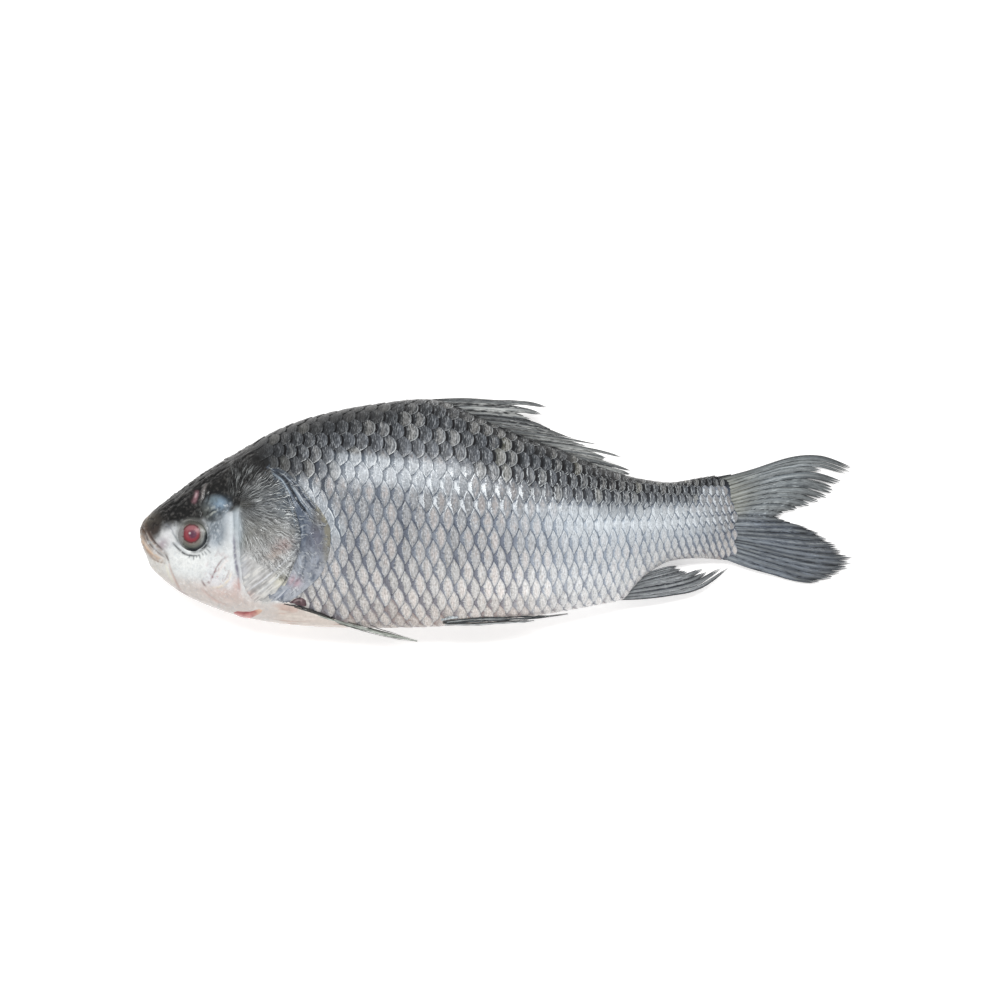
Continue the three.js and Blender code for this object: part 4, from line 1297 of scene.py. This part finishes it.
MEMBRANE_GRID = (90, 200)
MEMBRANE_THICKNESS = 0.6
MEMBRANE_RAGGED = 0.008
MEMBRANE_FRONT = [
    (82.3, 33), (91.7, 23.6), (98.4, 14.8), (101.8, 4.7), (104.5, -8.1), (104.5, -17.5),
    (101.1, -26.3), (97.1, -36.4), (91, -46.5), (82.3, -55),
]
MEMBRANE_REAR = [
    (88, 37.8), (98.6, 31.6), (106.9, 23.9), (113.5, 15.8), (122, 5.6), (127.4, -4), (128.6, -13),
    (127.6, -22.1), (124.7, -32), (119.2, -40.7), (112, -47), (104, -53), (96, -58),
]
MEMBRANE_STROKES = [
    ([(89, 31), (95.4, 26.4), (100.1, 19.1), (102.2, 13), (105.2, 3.7)], 0.6, (160, 174, 186), 0.9, 0.6),
    ([(90, 33), (97.5, 27), (102.4, 19.6), (104.9, 12)], 0.6, (30, 34, 40), 0.8, -0.5),
    ([(97.2, 21.6), (99.8, 15), (102, 7.4), (103.8, 0)], 0.55, (44, 52, 62), 0.7, -0.4),
    ([(98, 26.4), (103.7, 17.1), (107.3, 10.9), (112.5, 4.2), (117.6, -4.1)], 0.7, (18, 20, 24), 0.95, -0.7),
    ([(103.2, 22.2), (107.3, 16.6), (110.9, 10.9), (116.6, 4.7)], 0.6, (188, 194, 198), 0.9, 0.7),
    ([(100.8, 23.6), (105.6, 17), (109.2, 10.8), (114, 5)], 0.45, (146, 158, 168), 0.7, 0.3),
    ([(105.4, 22), (110, 15.4), (116, 8.4), (121, 3)], 0.5, (40, 44, 50), 0.75, -0.4),
    ([(107.6, 22.6), (113, 15.6), (119, 8)], 0.5, (132, 134, 130), 0.7, 0.3),
    ([(92, 34.6), (99, 30.4), (105, 25)], 0.6, (92, 98, 104), 0.7, 0.3),
    ([(109, 3), (110.8, -6), (110.8, -16)], 0.9, (70, 82, 98), 0.6, -0.3),
    ([(111, -4), (115.5, -12), (117, -22), (114.5, -33)], 1.3, (122, 130, 142), 0.45, 0.3),
    ([(106.6, -24), (108, -31), (105.2, -40), (99.4, -49)], 0.9, (168, 176, 186), 0.7, 0.4),
    ([(109.5, -18), (111.6, -27), (109.0, -37), (103, -46)], 0.6, (76, 88, 104), 0.5, -0.3),
    ([(99.4, -46.5), (93, -52.6), (86.6, -57)], 0.7, (206, 210, 216), 0.85, 0.4),
    ([(101.5, -45), (95.5, -51.5), (88, -57)], 0.5, (112, 120, 140), 0.7, -0.3),
    ([(106.5, -45), (101, -50.4), (95, -55.6)], 0.6, (190, 194, 200), 0.6, 0.2),
]


def wafer(columns, rows):
    """A flat, closed plate. Its points hold their shares of its length and width, and their face."""
    shape = bmesh.new()
    bmesh.ops.create_grid(shape, x_segments=columns, y_segments=rows, size=0.5)
    bmesh.ops.solidify(shape, geom=shape.faces[:], thickness=1.0)
    for vert in shape.verts:
        vert.co = (vert.co.x + 0.5, vert.co.y + 0.5, -1.0 if abs(vert.co.z) > 0.5 else 0.0)
    return mesh_of(shape)


def membrane_coat(seen, u):
    """The membrane's coat, and how strongly the fine lines fan out over it."""
    a, b = seen.T
    coat = Coat(seen, (83, 93, 108))
    patchy = wander(a / 4, b / 4, 31) + 0.6 * wander(a / 1.5, b / 1.5, 32)
    coat.lay(rising(patchy, 0.0, 1.4), (128, 135, 143), 0.5)
    coat.lay(rising(-patchy, 0.0, 1.4), (62, 72, 86), 0.5)
    coat.lay(rising(b, 12, 26), (46, 52, 60), 0.85)
    # Wet creases run down it, roughly along its edges.
    down = a * 0.3 - b
    creases = wander(u * 9 + 0.8 * patchy, down / 7, 33) + 0.5 * wander(u * 22, down / 5, 34)
    coat.lay(rising(creases, 0.3, 0.9), (160, 170, 182), 0.55, 0.25)
    coat.lay(rising(-creases, 0.3, 0.9), (38, 46, 58), 0.5, -0.2)
    coat.lay(rising(-b, 10, 38) * rising(patchy, -1.6, 0.2), (170, 174, 182), 0.85)
    coat.patch((121, 1), (4.5, 8), (118, 114, 102), 0.7)
    coat.patch((119, -14), (6, 11), (108, 106, 118), 0.6)
    coat.patch((125.5, -20), (2.5, 13), (134, 130, 118), 0.6)
    coat.patch((104.6, -42), (4, 3.6), (196, 156, 164), 0.75)
    coat.patch((114, -38), (6, 6), (96, 104, 118), 0.5)
    for stops, width, colour, strength, rise in MEMBRANE_STROKES:
        coat.stroke(stops, width, colour, strength, rise)
    olive = rising(u + 0.16 * patchy, 0.88, 1.0) * rising(b, -34, -14) * rising(16 - b, 0, 10)
    coat.lay(olive, (124, 119, 100), 0.7)
    coat.lay(rising(0.22 - u + 0.06 * patchy, 0.0, 0.2), (52, 60, 70), 0.5)
    return coat, 0.5 * rising(0.5 - np.abs(patchy), -0.2, 0.4)


def flap(name, side, edges, size, lift, thickness, coat_of, finish, ragged=0.0):
    """A flap of skin or bone between two edges on the flank, with its own lift off the skin. Fine
    lines fan out over it from the gill cover's hinge, as strongly as coat_of says."""
    mesh = wafer(*size)
    u, v, face = points_of(mesh).T
    front, rear = path_at(edges[0], v), path_at(edges[1], v)
    # A soft flap's edge is a little ragged.
    u_here = u * (1 + ragged * rising(u, 0.6, 1) * (wander(v * 18, 0 * v, 35) + wander(v * 90, 0 * v, 36)))
    seen = front + (rear - front) * u_here[:, None]
    coat, strength = coat_of(seen, u)
    rise = (coat.rise + lift(u, v) + face * thickness * (1 - 0.6 * u)) * MM
    paint(mesh, "coat", coat.colour)
    paint(mesh, "fan", fan_over(seen, strength))
    return piece(name, on_side(mesh, side, on_flank(seen, rise)), finish)


def membrane_lift(u, v):
    # Its two ends grow out of the skin.
    free = rising(v, 0, 0.1) * rising(1 - v, 0, 0.06)
    return (0.35 + 0.75 * np.sin(np.pi * np.clip(u, 0, 1) * 0.8) - 0.25 * u) * free - 0.35 * (1 - free)


membrane_material = flesh_finish("gill_membrane", roughness=0.24, fibres=40)
for side_name, side in SIDES:
    flap(
        f"gill_membrane_{side_name}", side, (MEMBRANE_FRONT, MEMBRANE_REAR), MEMBRANE_GRID,
        membrane_lift, MEMBRANE_THICKNESS, membrane_coat, membrane_material, MEMBRANE_RAGGED,
    )


# ------------------------------------------------------------------ gill covers
# The thin, bony plate over each gill, hinged along the cheek. Fine ridges fan out over it from
# its hinge's upper end, and pale streaks cross its lower part, under a double line.

COVER_GRID = (150, 300)
COVER_THICKNESS = 0.7
COVER_FRONT = [
    (87, 34.4), (75.9, 28.8), (67.4, 19.8), (64, 9.4), (63, -4), (63.7, -19.6), (65.1, -34.4),
    (67.4, -46.5), (74.2, -56), (82.3, -59.3),
]
COVER_REAR = [
    (87, 34.4), (95.1, 26.3), (101.1, 17.1), (105.2, 4.7), (108.2, -8.1), (108.2, -17.5),
    (105.5, -26.3), (101.3, -37.3), (95.7, -47.6), (84.3, -58.7),
]
COVER_PATCHES = [
    ((99, 14), (7, 13), (88, 102, 114), 0.75, 0),
    ((72, 14), (9, 7), (60, 60, 58), 0.6, 0.6),
    ((70, 9.6), (7, 3.5), (58, 54, 40), 0.9, 0),
    ((72, -8), (6, 7), (92, 92, 82), 0.6, 0),
    ((65.6, -3), (3.4, 10), (172, 180, 185), 0.75, 0),
    ((69, -16), (4, 5), (98, 102, 92), 0.6, 0),
    ((69, -32), (4, 9), (188, 190, 198), 0.6, 0),
    ((97, -18), (7, 4.5), (170, 146, 144), 0.75, 0.4),
    ((91, -24), (6, 3.5), (176, 158, 146), 0.6, 0.4),
    ((95, -42), (5, 6), (206, 202, 178), 0.65, 0),
    ((73, -52), (6, 4), (202, 174, 166), 0.7, 0),
]
COVER_STROKES = [
    ([(107.2, -19), (97.1, -29), (84.3, -39.8), (70, -50.2)], 0.6, (226, 228, 232), 0.85, 0.4),
    ([(108, -22.5), (98.8, -33), (86.6, -44.4), (74.2, -54)], 0.7, (218, 220, 220), 0.75, 0.3),
    ([(107.4, -21), (98, -31), (85.5, -42.2), (72, -52.2)], 0.4, (140, 138, 140), 0.5, -0.2),
    ([(106, -17), (96, -26), (84, -36), (71, -46)], 0.5, (214, 212, 212), 0.55, 0.2),
    ([(104.6, -26.6), (101.4, -34), (97.4, -42), (89, -53.5)], 0.5, (60, 66, 72), 0.75, -0.3),
    ([(107.6, -12), (107, -19), (105, -25)], 0.7, (92, 94, 104), 0.7, -0.3),
    ([(88, 32.4), (95, 25), (99.6, 16), (103, 5), (105.2, -5)], 0.5, (150, 162, 174), 0.7, 0.4),
]


def cover_coat(seen, u):
    """The gill cover's coat, and how strongly the fine lines fan out over it."""
    a, b = seen.T
    coat = Coat(seen, (148, 148, 145))
    patchy = wander(a / 4, b / 4, 41) + 0.5 * wander(a / 1.5, b / 1.5, 47)
    coat.lay(rising(b + patchy, -10, 12), (100, 105, 110))
    coat.lay(rising(b + 2 * patchy, 12, 26), (60, 64, 68))
    coat.lay(rising(-b, 2, 30), (186, 186, 185))
    for centre, radii, colour, strength, turn in COVER_PATCHES:
        coat.patch(centre, radii, colour, strength, turn=turn)
    top_edge, _ = from_path(seen, COVER_FRONT[:4])
    coat.lay(np.exp(-(top_edge / 8) ** 2) * rising(b, 6, 16), (46, 46, 46), 0.85)
    coat.lay(np.exp(-(top_edge / 3) ** 2) * rising(b, 8, 14), (30, 30, 30), 0.9)
    coat.lay(rising(patchy, 0.0, 1.2), (192, 194, 194), 0.25)
    coat.lay(rising(-patchy, 0.0, 1.2), (84, 84, 82), 0.35)
    # Low ridges fan out from the hinge. Each one wavers and breaks off.
    far = np.hypot(a - HUB[0], b - HUB[1])
    bent = np.arctan2(b - HUB[1], a - HUB[0]) * 26 + 0.9 * wander(a / 5, b / 5, 42)
    ridges = wander(bent, far / 6.5, 43) + 0.5 * wander(bent * 2.1, far / 4, 44)
    above_line = rising(0.75 * (a - 88) + b + 37, -1, 3)
    fade = above_line * rising(far, 3, 9) * rising(u, 0.02, 0.15)
    coat.lay(rising(ridges, 0.15, 0.8) * fade, (198, 200, 200), 0.2, 0.12)
    coat.lay(rising(-ridges, 0.15, 0.8) * fade, (58, 59, 60), 0.25, -0.1)
    # Below the double line the streaks run along it.
    run, across = 0.76 * a + 0.65 * b, 0.65 * a - 0.76 * b
    streaks = wander(across / 0.9 + 0.4 * wander(run / 6, across / 6, 45), run / 6, 46)
    below = 1 - above_line
    coat.lay(rising(streaks, 0.0, 0.7) * below, (224, 222, 216), 0.55, 0.2)
    coat.lay(rising(-streaks, 0.1, 0.8) * below, (140, 136, 134), 0.55, -0.15)
    # Its soft rear edge takes on the membrane's dark blue.
    rear_edge = rising(u + 0.05 * patchy, 0.8, 1.0) * rising(b, -40, -20)
    coat.lay(rear_edge, (70, 80, 92), 0.75)
    for stops, width, colour, strength, rise in COVER_STROKES + HINGE_STROKES:
        coat.stroke(stops, width, colour, strength, rise)
    strength = above_line * rising(far, 3, 9) * rising(u, 0.04, 0.2) * rising(top_edge, 1, 7)
    return coat, strength * (0.8 + 0.5 * rising(b, -10, 20))


def cover_lift(u, v):
    ends = np.sin(np.pi * np.clip(v, 0.02, 0.98)) ** 0.4
    return -1.0 + (1.55 * rising(u, 0, 0.13) + 1.1 * u) * ends


cover_material = flesh_finish("gill_cover", roughness=0.26, fibres=56)
for side_name, side in SIDES:
    flap(
        f"gill_cover_{side_name}", side, (COVER_FRONT, COVER_REAR), COVER_GRID, cover_lift,
        COVER_THICKNESS, cover_coat, cover_material,
    )


# ------------------------------------------------------------------ throat folds
# The red edge of the gill chamber's lining, which hangs out under each gill cover as a thin fold,
# and the raw, dark-red pit in front of each pectoral fin.

FOLD_THICKNESS = 0.6
THROAT_GRID = (14, 60)
PIT_GRID = (12, 50)
THROAT_FOLD = (
    [(61.6, -62.1), (66, -62.2), (73.8, -62.4), (79, -61.1), (85.6, -59.6)],
    [(61.4, -62.4), (65.5, -64.9), (70, -66.2), (75.6, -66.2), (85.2, -61.4)],
)
FIN_PIT = (
    [(101, -55.8), (104.4, -54), (107.4, -53.1), (110.4, -53.9), (112.8, -56)],
    [(101, -56.6), (104.6, -57), (107.4, -57.8), (110.4, -58.6), (113, -58.8)],
)


def fold_coat(seen, u):
    a, b = seen.T
    coat = Coat(seen, (192, 124, 120))
    patchy = wander(a / 2, b / 1.2, 51)
    coat.lay(rising(patchy, 0, 0.9), (216, 170, 160), 0.7)
    coat.lay(rising(a, 74, 84), (216, 194, 168), 0.85)
    coat.lay(rising(-patchy, 0.1, 0.9), (158, 78, 80), 0.5)
    coat.stroke([(62, -62.6), (67, -62.8), (73, -62.9), (78, -61.8)], 0.5, (124, 62, 66), 0.7, -0.2)
    return coat, np.zeros(len(u))


def pit_coat(seen, u):
    a, b = seen.T
    coat = Coat(seen, (82, 62, 66))
    patchy = wander(a / 1.6, b / 1.4, 52)
    coat.lay(rising(patchy, 0, 0.9), (122, 100, 104), 0.7, 0.2)
    coat.lay(rising(-patchy, 0, 0.9), (40, 30, 34), 0.7, -0.2)
    coat.stroke([(103.6, -55.6), (106.6, -54.4), (109.6, -54.8)], 0.5, (170, 152, 152), 0.6, 0.1)
    return coat, np.zeros(len(u))


def fold_lift(u, v):
    return -0.3 + 1.1 * np.sin(np.pi * np.clip(v, 0, 1)) * np.sin(np.pi * (0.15 + 0.6 * u))


fold_material = flesh_finish("throat_fold", roughness=0.22)
FOLDS = (
    ("throat_fold", THROAT_FOLD, THROAT_GRID, fold_coat),
    ("fin_pit", FIN_PIT, PIT_GRID, pit_coat),
)
for side_name, side in SIDES:
    for fold, edges, grid, coat_of in FOLDS:
        name = f"{fold}_{side_name}"
        flap(name, side, edges, grid, fold_lift, FOLD_THICKNESS, coat_of, fold_material)


# ------------------------------------------------------------------ fins
# Webs of thin skin on bony rays that branch towards their tips. They lie folded and limp, torn
# along the rays, so that their edges are frayed into strips of uneven length.

FIN_STOPS = 5
FIN_PARTS = 3
FIN_ALONG = 26
FIN_ACROSS = 3


def fin_place(paths, u, v):
    """Places on a fin: u across its rays and v along them, from paths as (u, stops) rows."""
    columns = []
    for stop in range(FIN_STOPS):
        pair = []
        for axis in (0, 1):
            pair.append(curve_through([(row_u, stops[stop][axis]) for row_u, stops in paths])(u))
        columns.append(np.stack(pair, axis=1))
    place = np.clip(v, -0.5, 1.2) * (FIN_STOPS - 1)
    i = np.clip(np.floor(place).astype(int), 0, FIN_STOPS - 2)
    grid = np.stack([2 * columns[0] - columns[1], *columns, 2 * columns[-1] - columns[-2]])
    each = np.arange(len(u))
    return between_stops(*(grid[i + k, each] for k in range(4)), (place - i)[:, None])


def fin(name, paths, rays, lay, finish, seed, thickness, root, drawn_in):
    """A fin of overlapping strips. Rays are (last u, reach, where it parts from its neighbours).
    Drawn_in tells how much narrower a ray is past its parting, and how much more at its tip."""
    chance = np.random.default_rng(seed)
    rows = []
    first = 0.0
    for last, reach, parting in rays:
        half = (last - first) / FIN_PARTS / 2
        for part in range(FIN_PARTS):
            middle = first + (last - first) * (part + 0.5) / FIN_PARTS
            short = 0 if part == 1 else chance.uniform(0.0, 0.05)
            tint = chance.random()
            rows.append((middle, half, reach * (1 - short), parting, first, last, tint))
        first = last
    mesh, columns = copies(wafer(FIN_ALONG, FIN_ACROSS), rows)
    middle, half, reach, parting, first, last, tint = columns
    own_v, across, face = points_of(mesh).T
    across = across * 2 - 1
    v = root + (reach - root) * own_v
    tip = np.clip((1 - own_v) / 0.09, 0, 1) ** 0.6
    overlap = 1.25 - 0.3 * rising(v, 0.75, 1)
    # Past its parting a ray's three strips run together into one point.
    ray_middle = (first + last) / 2
    parted = np.clip((v - parting) / np.maximum(reach - parting, 0.02), 0, 1)
    drawn = 1 - drawn_in[0] * rising(parted, 0, 0.4) - drawn_in[1] * parted ** 4
    u = ray_middle + (middle - ray_middle + across * half * overlap * tip) * drawn
    seen = fin_place(paths, u, v)
    phase = np.clip((u - first) / (last - first), 0, 1)
    ridge = np.sin(np.pi * phase) ** 0.7
    thick = thickness * (1 - 0.72 * rising(v, 0, 1)) * (1 - 0.35 * across ** 2)
    height = lay(seen, v) + 0.35 * (ridge - 0.6) * (1 - 0.6 * v) + 0.10 * (tint - 0.5)
    z = middle_at(seen[:, 0] * MM / LENGTH) + (height + (face + 0.5) * thick) * MM
    x, y = under_camera(seen, z)
    set_points(mesh, settled(np.stack([x, y, z], axis=1)))
    paint(mesh, "ray", np.stack([phase, v, tint], axis=1))
    paint(mesh, "across", u)
    return piece(name, mesh, finish)


def fin_finish(name, tones, far_tones=None):
    """Slate-grey web: painted shade in the grooves between the rays, fine lines along them, darker tips.
    Tones are those of light and dark streaks, tip and root, on the fin's first half or all of it."""
    made = Finish(name, Coat_Roughness=0.14)
    phase, along, tint = made.parts("ray")
    across = made.amount("across")
    grain = made.noise(made.join(across * 26, along * 3.5, 0), 3.0, 4.0, 0.6)
    hairs = made.noise(made.join(across * 110, along * 2.4, tint), 1.6, 3.0, 0.6)
    speck = made.noise(made.place(), 700.0, 3.0, 0.6)
    uneven = along + (grain - 0.5) * 0.3
    # Every strand has a tone of its own.
    toned = grain + (tint - 0.5) * 0.34

    def web(light, dark, tip, root):
        streaked = made.mix(toned.between(0.42, 0.6), srgb(*light), srgb(*dark))
        rooted = made.mix((1 - uneven.between(0.0, 0.35)) * 0.6, streaked, srgb(*root))
        return made.mix(uneven.between(0.55, 0.95) * 0.75, rooted, srgb(*tip))

    colour = web(*tones)
    if far_tones:
        colour = made.mix(across.between(0.46, 0.54), colour, web(*far_tones))
    # Folds of the web make some bundles of rays darker than others.
    bundles = made.noise(made.join(across * 9, along * 1.1, 4), 2.0, 3.0, 0.6).between(0.36, 0.64)
    folded = made.scaled(colour, 0.68 + bundles * 0.62)
    haired = made.scaled(folded, (hairs * 2.0 + speck * 0.6 - 0.3) * (0.68 + tint * 0.56))
    # Each ray has painted shade along its two edges, where the grooves are, and a painted highlight along its
    # middle.
    middle = 1 - abs(phase - 0.5).between(0.05, 0.32)
    lit = made.mix(middle * grain.between(0.35, 0.6) * (1 - along * 0.5) * 0.45, haired, srgb(182, 188, 190))
    groove = (abs(phase - 0.5) + (grain - 0.5) * 0.12).between(0.40, 0.48)
    # The first ray is the darkest.
    leading = 1 - (across + (grain - 0.5) * 0.05).between(0.015, 0.05)
    edged = made.mix(leading * 0.6, lit, srgb(44, 47, 50))
    groove_shade = groove * (0.5 + grain.between(0.36, 0.6) * 0.5)
    made.feed("Base Color", made.mix(groove_shade, edged, srgb(20, 24, 27)))
    made.feed("Roughness", 0.3 + grain * 0.25)
    made.feed("Coat Weight", 0.15 + speck * 0.5)
    made.relief(hairs * 2 - groove, 0.0003)
    return made.material


TAIL_PATHS = [
    (0, [(388.3, 27), (411.7, 33.3), (439.2, 41.9), (459.8, 42.6), (479.4, 36)]),
    (0.1, [(391, 23.6), (412.6, 30), (438.2, 37.1), (458.5, 37.6), (479.8, 31)]),
    (0.2, [(395.8, 20.2), (415.3, 26.3), (436.2, 31.7), (455.1, 33), (475.3, 27.3)]),
    (0.3, [(398.5, 16.2), (416.7, 21.6), (434.9, 25.3), (451.7, 25.6), (469.2, 20.9)]),
    (0.38, [(400.5, 12.8), (416.7, 16.9), (432.8, 19.2), (447.7, 18.2), (463.2, 13.5)]),
    (0.44, [(401.1, 8.1), (414, 10.8), (426.8, 12.1), (438.2, 11.1), (450.4, 8.1)]),
    (0.5, [(401.8, 2.7), (409.2, 2.7), (416.7, 2.5), (423.4, 2), (430.8, 1.7)]),
    (0.56, [(403.2, -3.4), (416, -3.7), (427.4, -3.7), (438.9, -4), (450.4, -5.7)]),
    (0.62, [(403.8, -8.1), (420, -8.8), (434.9, -9.1), (449, -10.1), (461.2, -11.1)]),
    (0.7, [(404.5, -12.8), (422, -14.8), (439.6, -17.5), (455.8, -19.2), (471.9, -19.2)]),
    (0.78, [(404.5, -16.2), (422, -19.9), (442.3, -24.3), (462.3, -27), (482, -28.2)]),
    (0.86, [(403.2, -20.2), (420, -24.9), (439.6, -30), (458.5, -33.7), (476, -35.1)]),
    (0.93, [(399.8, -23.6), (416.7, -29.3), (434.2, -34.4), (450.4, -38.8), (465.9, -40.5)]),
    (1, [(393.7, -27), (409.9, -33), (425.4, -37.4), (440.9, -41.8), (455.1, -43.8)]),
]
TAIL_RAYS = [
    (0.07, 1.01, 0.7), (0.115, 1.01, 0.62), (0.16, 0.98, 0.58), (0.22, 0.81, 0.72),
    (0.285, 1, 0.6), (0.355, 1, 0.66), (0.395, 1, 0.74), (0.42, 1, 0.8), (0.45, 1, 0.85),
    (0.475, 1, 0.88), (0.5, 1, 0.92), (0.54, 1, 0.9), (0.58, 0.98, 0.9), (0.62, 1, 0.9),
    (0.66, 0.985, 0.9), (0.7, 1, 0.9), (0.74, 0.98, 0.92), (0.78, 1, 0.86), (0.82, 0.985, 0.86),
    (0.86, 1, 0.93), (0.9, 0.985, 0.84), (0.95, 1, 0.93), (1, 1, 0.97),
]


def tail_lay(seen, v):
    return 0.5 * wander(seen[:, 0] / 16, seen[:, 1] / 12, 61) + 0.9


tail_material = fin_finish(
    "tail_fin",
    ((150, 156, 158), (96, 102, 106), (64, 65, 65), (160, 160, 148)),
    ((108, 115, 124), (66, 71, 79), (44, 45, 47), (116, 122, 128)),
)
fin(
    "tail_fin", TAIL_PATHS, TAIL_RAYS, tail_lay, tail_material,
    seed=3, thickness=1.5, root=-0.12, drawn_in=(0.15, 0.03),
)

DORSAL_PATHS = [
    (0, [(192.5, 80.6), (218.5, 81.6), (242, 80.2), (259.5, 80.4), (276.8, 77.8)]),
    (0.15, [(209, 74.2), (229.2, 74.2), (242.7, 73.2), (257.5, 72.5), (270.4, 69.4)]),
    (0.33, [(229.2, 66.1), (246.1, 64.7), (262.9, 62.4), (278.4, 59), (293.3, 53.9)]),
    (0.5, [(249.5, 58), (266.3, 56.3), (283.2, 53.9), (298, 51.6), (312.8, 49.2)]),
    (0.68, [(269.7, 49.9), (284.5, 48.5), (300, 46.5), (313.5, 43.8), (326.3, 40.1)]),
    (0.85, [(293.3, 40.5), (303.4, 38.8), (313.5, 36.4), (322.3, 34), (331, 31.7)]),
    (1, [(318.2, 31), (321.6, 30.7), (325, 30.3), (328.3, 29.9), (331, 29.3)]),
]
DORSAL_RAYS = [
    (0.085, 1.02, 0.55), (0.18, 1.02, 0.62), (0.24, 0.78, 0.8), (0.3, 0.86, 0.8), (0.36, 0.94, 0.82),
    (0.42, 0.96, 0.8), (0.52, 1.02, 0.55), (0.59, 0.7, 0.7), (0.7, 1.02, 0.45), (0.77, 0.7, 0.6),
    (0.87, 1.02, 0.5), (1, 1, 0.85),
]


def dorsal_lay(seen, v):
    return -3.5 * v


dorsal_material = fin_finish("dorsal_fin", ((182, 184, 182), (50, 52, 54), (86, 87, 87), (38, 40, 42)))
fin(
    "dorsal_fin", DORSAL_PATHS, DORSAL_RAYS, dorsal_lay, dorsal_material,
    seed=4, thickness=1.3, root=-0.14, drawn_in=(0.4, 0.4),
)

ANAL_PATHS = [
    (0, [(323.6, -54.8), (338.4, -54.2), (357, -52), (378.5, -47.2), (400, -32.2)]),
    (0.25, [(327, -51.2), (343.8, -48.9), (359.3, -46.2), (375.5, -41.5), (389, -33.7)]),
    (0.5, [(331.7, -46.5), (345.2, -43.1), (356.7, -41.1), (368.1, -38.1), (378.4, -33.4)]),
    (0.75, [(337.1, -41.1), (345.2, -38.4), (351.9, -36.4), (358.7, -34.7), (364.1, -33.4)]),
    (1, [(341.8, -36.1), (347.9, -34), (352.6, -32.6), (357.3, -31.7), (362.5, -31.3)]),
]
ANAL_RAYS = [
    (0.13, 1.03, 0.58), (0.28, 1.03, 0.74), (0.4, 0.95, 0.84), (0.56, 1.02, 0.74), (0.66, 0.9, 0.88),
    (0.82, 1.02, 0.8), (0.9, 0.95, 0.86), (1, 1, 0.9),
]


def anal_lay(seen, v):
    return -1.0 * v


anal_material = fin_finish("anal_fin", ((184, 188, 191), (66, 69, 74), (72, 73, 75), (140, 144, 148)))
fin(
    "anal_fin", ANAL_PATHS, ANAL_RAYS, anal_lay, anal_material,
    seed=5, thickness=1.4, root=-0.2, drawn_in=(0.22, 0.3),
)


# ------------------------------------------------------------------ paired fins
# The pectoral fins, behind the gill covers, and the pelvic ones, under the belly, are folded like
# shut fans: dark, leading rays over paler ones. The upper ones lie along the belly's edge.

# Path, half width, colour and height of each strip of a fin.
PAIRED_STRIPS = {
    "pectoral": [
        ([(97, -57.2), (111, -60), (126, -65.6), (142, -70.4), (158.6, -72.8)], 0.42, (24, 24, 22), 1.5),
        ([(104, -59.4), (119, -63.8), (132, -68.4), (148, -72.8), (164, -76.6)], 0.36, (70, 72, 66), 1.2),
        ([(120, -65), (136, -70), (152, -74.4), (168, -78.4), (187, -82.6)], 0.85, (176, 182, 174), 1.0),
        ([(134, -70.8), (146, -74.2), (158, -77.4), (170, -80.2), (184, -82.6)], 0.2, (84, 88, 82), 0.9),
        ([(140, -69.8), (150, -72.2), (160, -74.8), (171, -77.8), (182, -80.9)], 0.2, (70, 74, 70), 1.4),
    ],
    "pelvic": [
        (
            [(204.3, -69.4), (222, -67.6), (239.4, -66.9), (255.4, -65.9), (275.3, -65.7)],
            0.6, (62, 66, 68), 1.5,
        ),
        ([(206, -70), (225.9, -68.9), (247.2, -68), (269.7, -66.6), (288.6, -64.1)], 0.55, (74, 79, 82), 1.3),
        ([(207, -69.6), (224, -68), (238, -67.5), (252, -67), (264, -66.4)], 0.3, (190, 195, 196), 1.9),
        (
            [(205.5, -71.4), (222, -71.4), (239.4, -70.4), (255.4, -69.5), (266, -68.8)],
            0.6, (186, 189, 190), 0.8,
        ),
        ([(204, -70.6), (214, -70.7), (228, -70.1), (246, -69.2), (262, -68.2)], 0.3, (40, 42, 42), 1.2),
        (
            [(203, -68.4), (207.6, -67.2), (212, -66.4), (216.6, -65.8), (221.4, -65.2)],
            0.75, (196, 204, 208), 2.0,
        ),
    ],
}
STRIP_ALONG = 60
STRIP_ACROSS = 8
# Where a strip hangs past the belly's edge, it keeps the height of the skin this far inside it.
INSIDE_BELLY = 0.0025
strip_width = curve_through([(0, 0.8), (0.35, 1.15), (0.7, 0.95), (1, 0.25)])


def strip_mesh(side, stops, half_width, colour, height, chance):
    """One bundle of folded rays, lying on the skin along its path, as a closed, tapered strip."""
    mesh = wafer(STRIP_ALONG, STRIP_ACROSS)
    v, across, face = points_of(mesh).T
    across = across * 2 - 1
    path = path_at(stops, v)
    ahead = unit(path_at(stops, np.minimum(v + 0.01, 1)) - path_at(stops, np.maximum(v - 0.01, 0)))
    width = half_width * strip_width(v) * (1 + 0.35 * wander(v * 11, across, chance.integers(99)))
    waver = 0.22 * wander(v * 7, 0 * v, chance.integers(99))
    seen = path + np.stack([-ahead[:, 1], ahead[:, 0]], axis=1) * (across * width + waver)[:, None]
    share = seen[:, 0] * MM / LENGTH
    middle = middle_at(share)
    _, belly = edges_at(share)
    a, b = in_metres(seen)
    on_skin = flank_height(a, np.maximum(b, belly + INSIDE_BELLY)) - middle
    z = middle + on_skin * (1 - 0.5 * rising(v, 0.4, 1.0))
    z += (height - 0.4 * across ** 2 + face * 0.9 * (1 - 0.6 * v)) * MM
    x, y = under_camera(seen, z)
    shade = 0.75 + 0.3 * np.cos(across * 5 + 1) + 0.4 * wander(v * 24, across, chance.integers(99))
    paint(mesh, "coat", np.tile(srgb(*colour), (len(v), 1)) * shade[:, None])
    return on_side(mesh, side, np.stack([x, y, z], axis=1))


paired_material = flesh_finish("paired_fins", roughness=0.3)
for fin_name, strips in PAIRED_STRIPS.items():
    for side_name, side in SIDES:
        paired_chance = np.random.default_rng(70 + side)
        for number, (stops, half_width, colour, height) in enumerate(strips, 1):
            strip = strip_mesh(side, stops, half_width, colour, height, paired_chance)
            piece(f"{fin_name}_{side_name}_{number}", strip, paired_material)
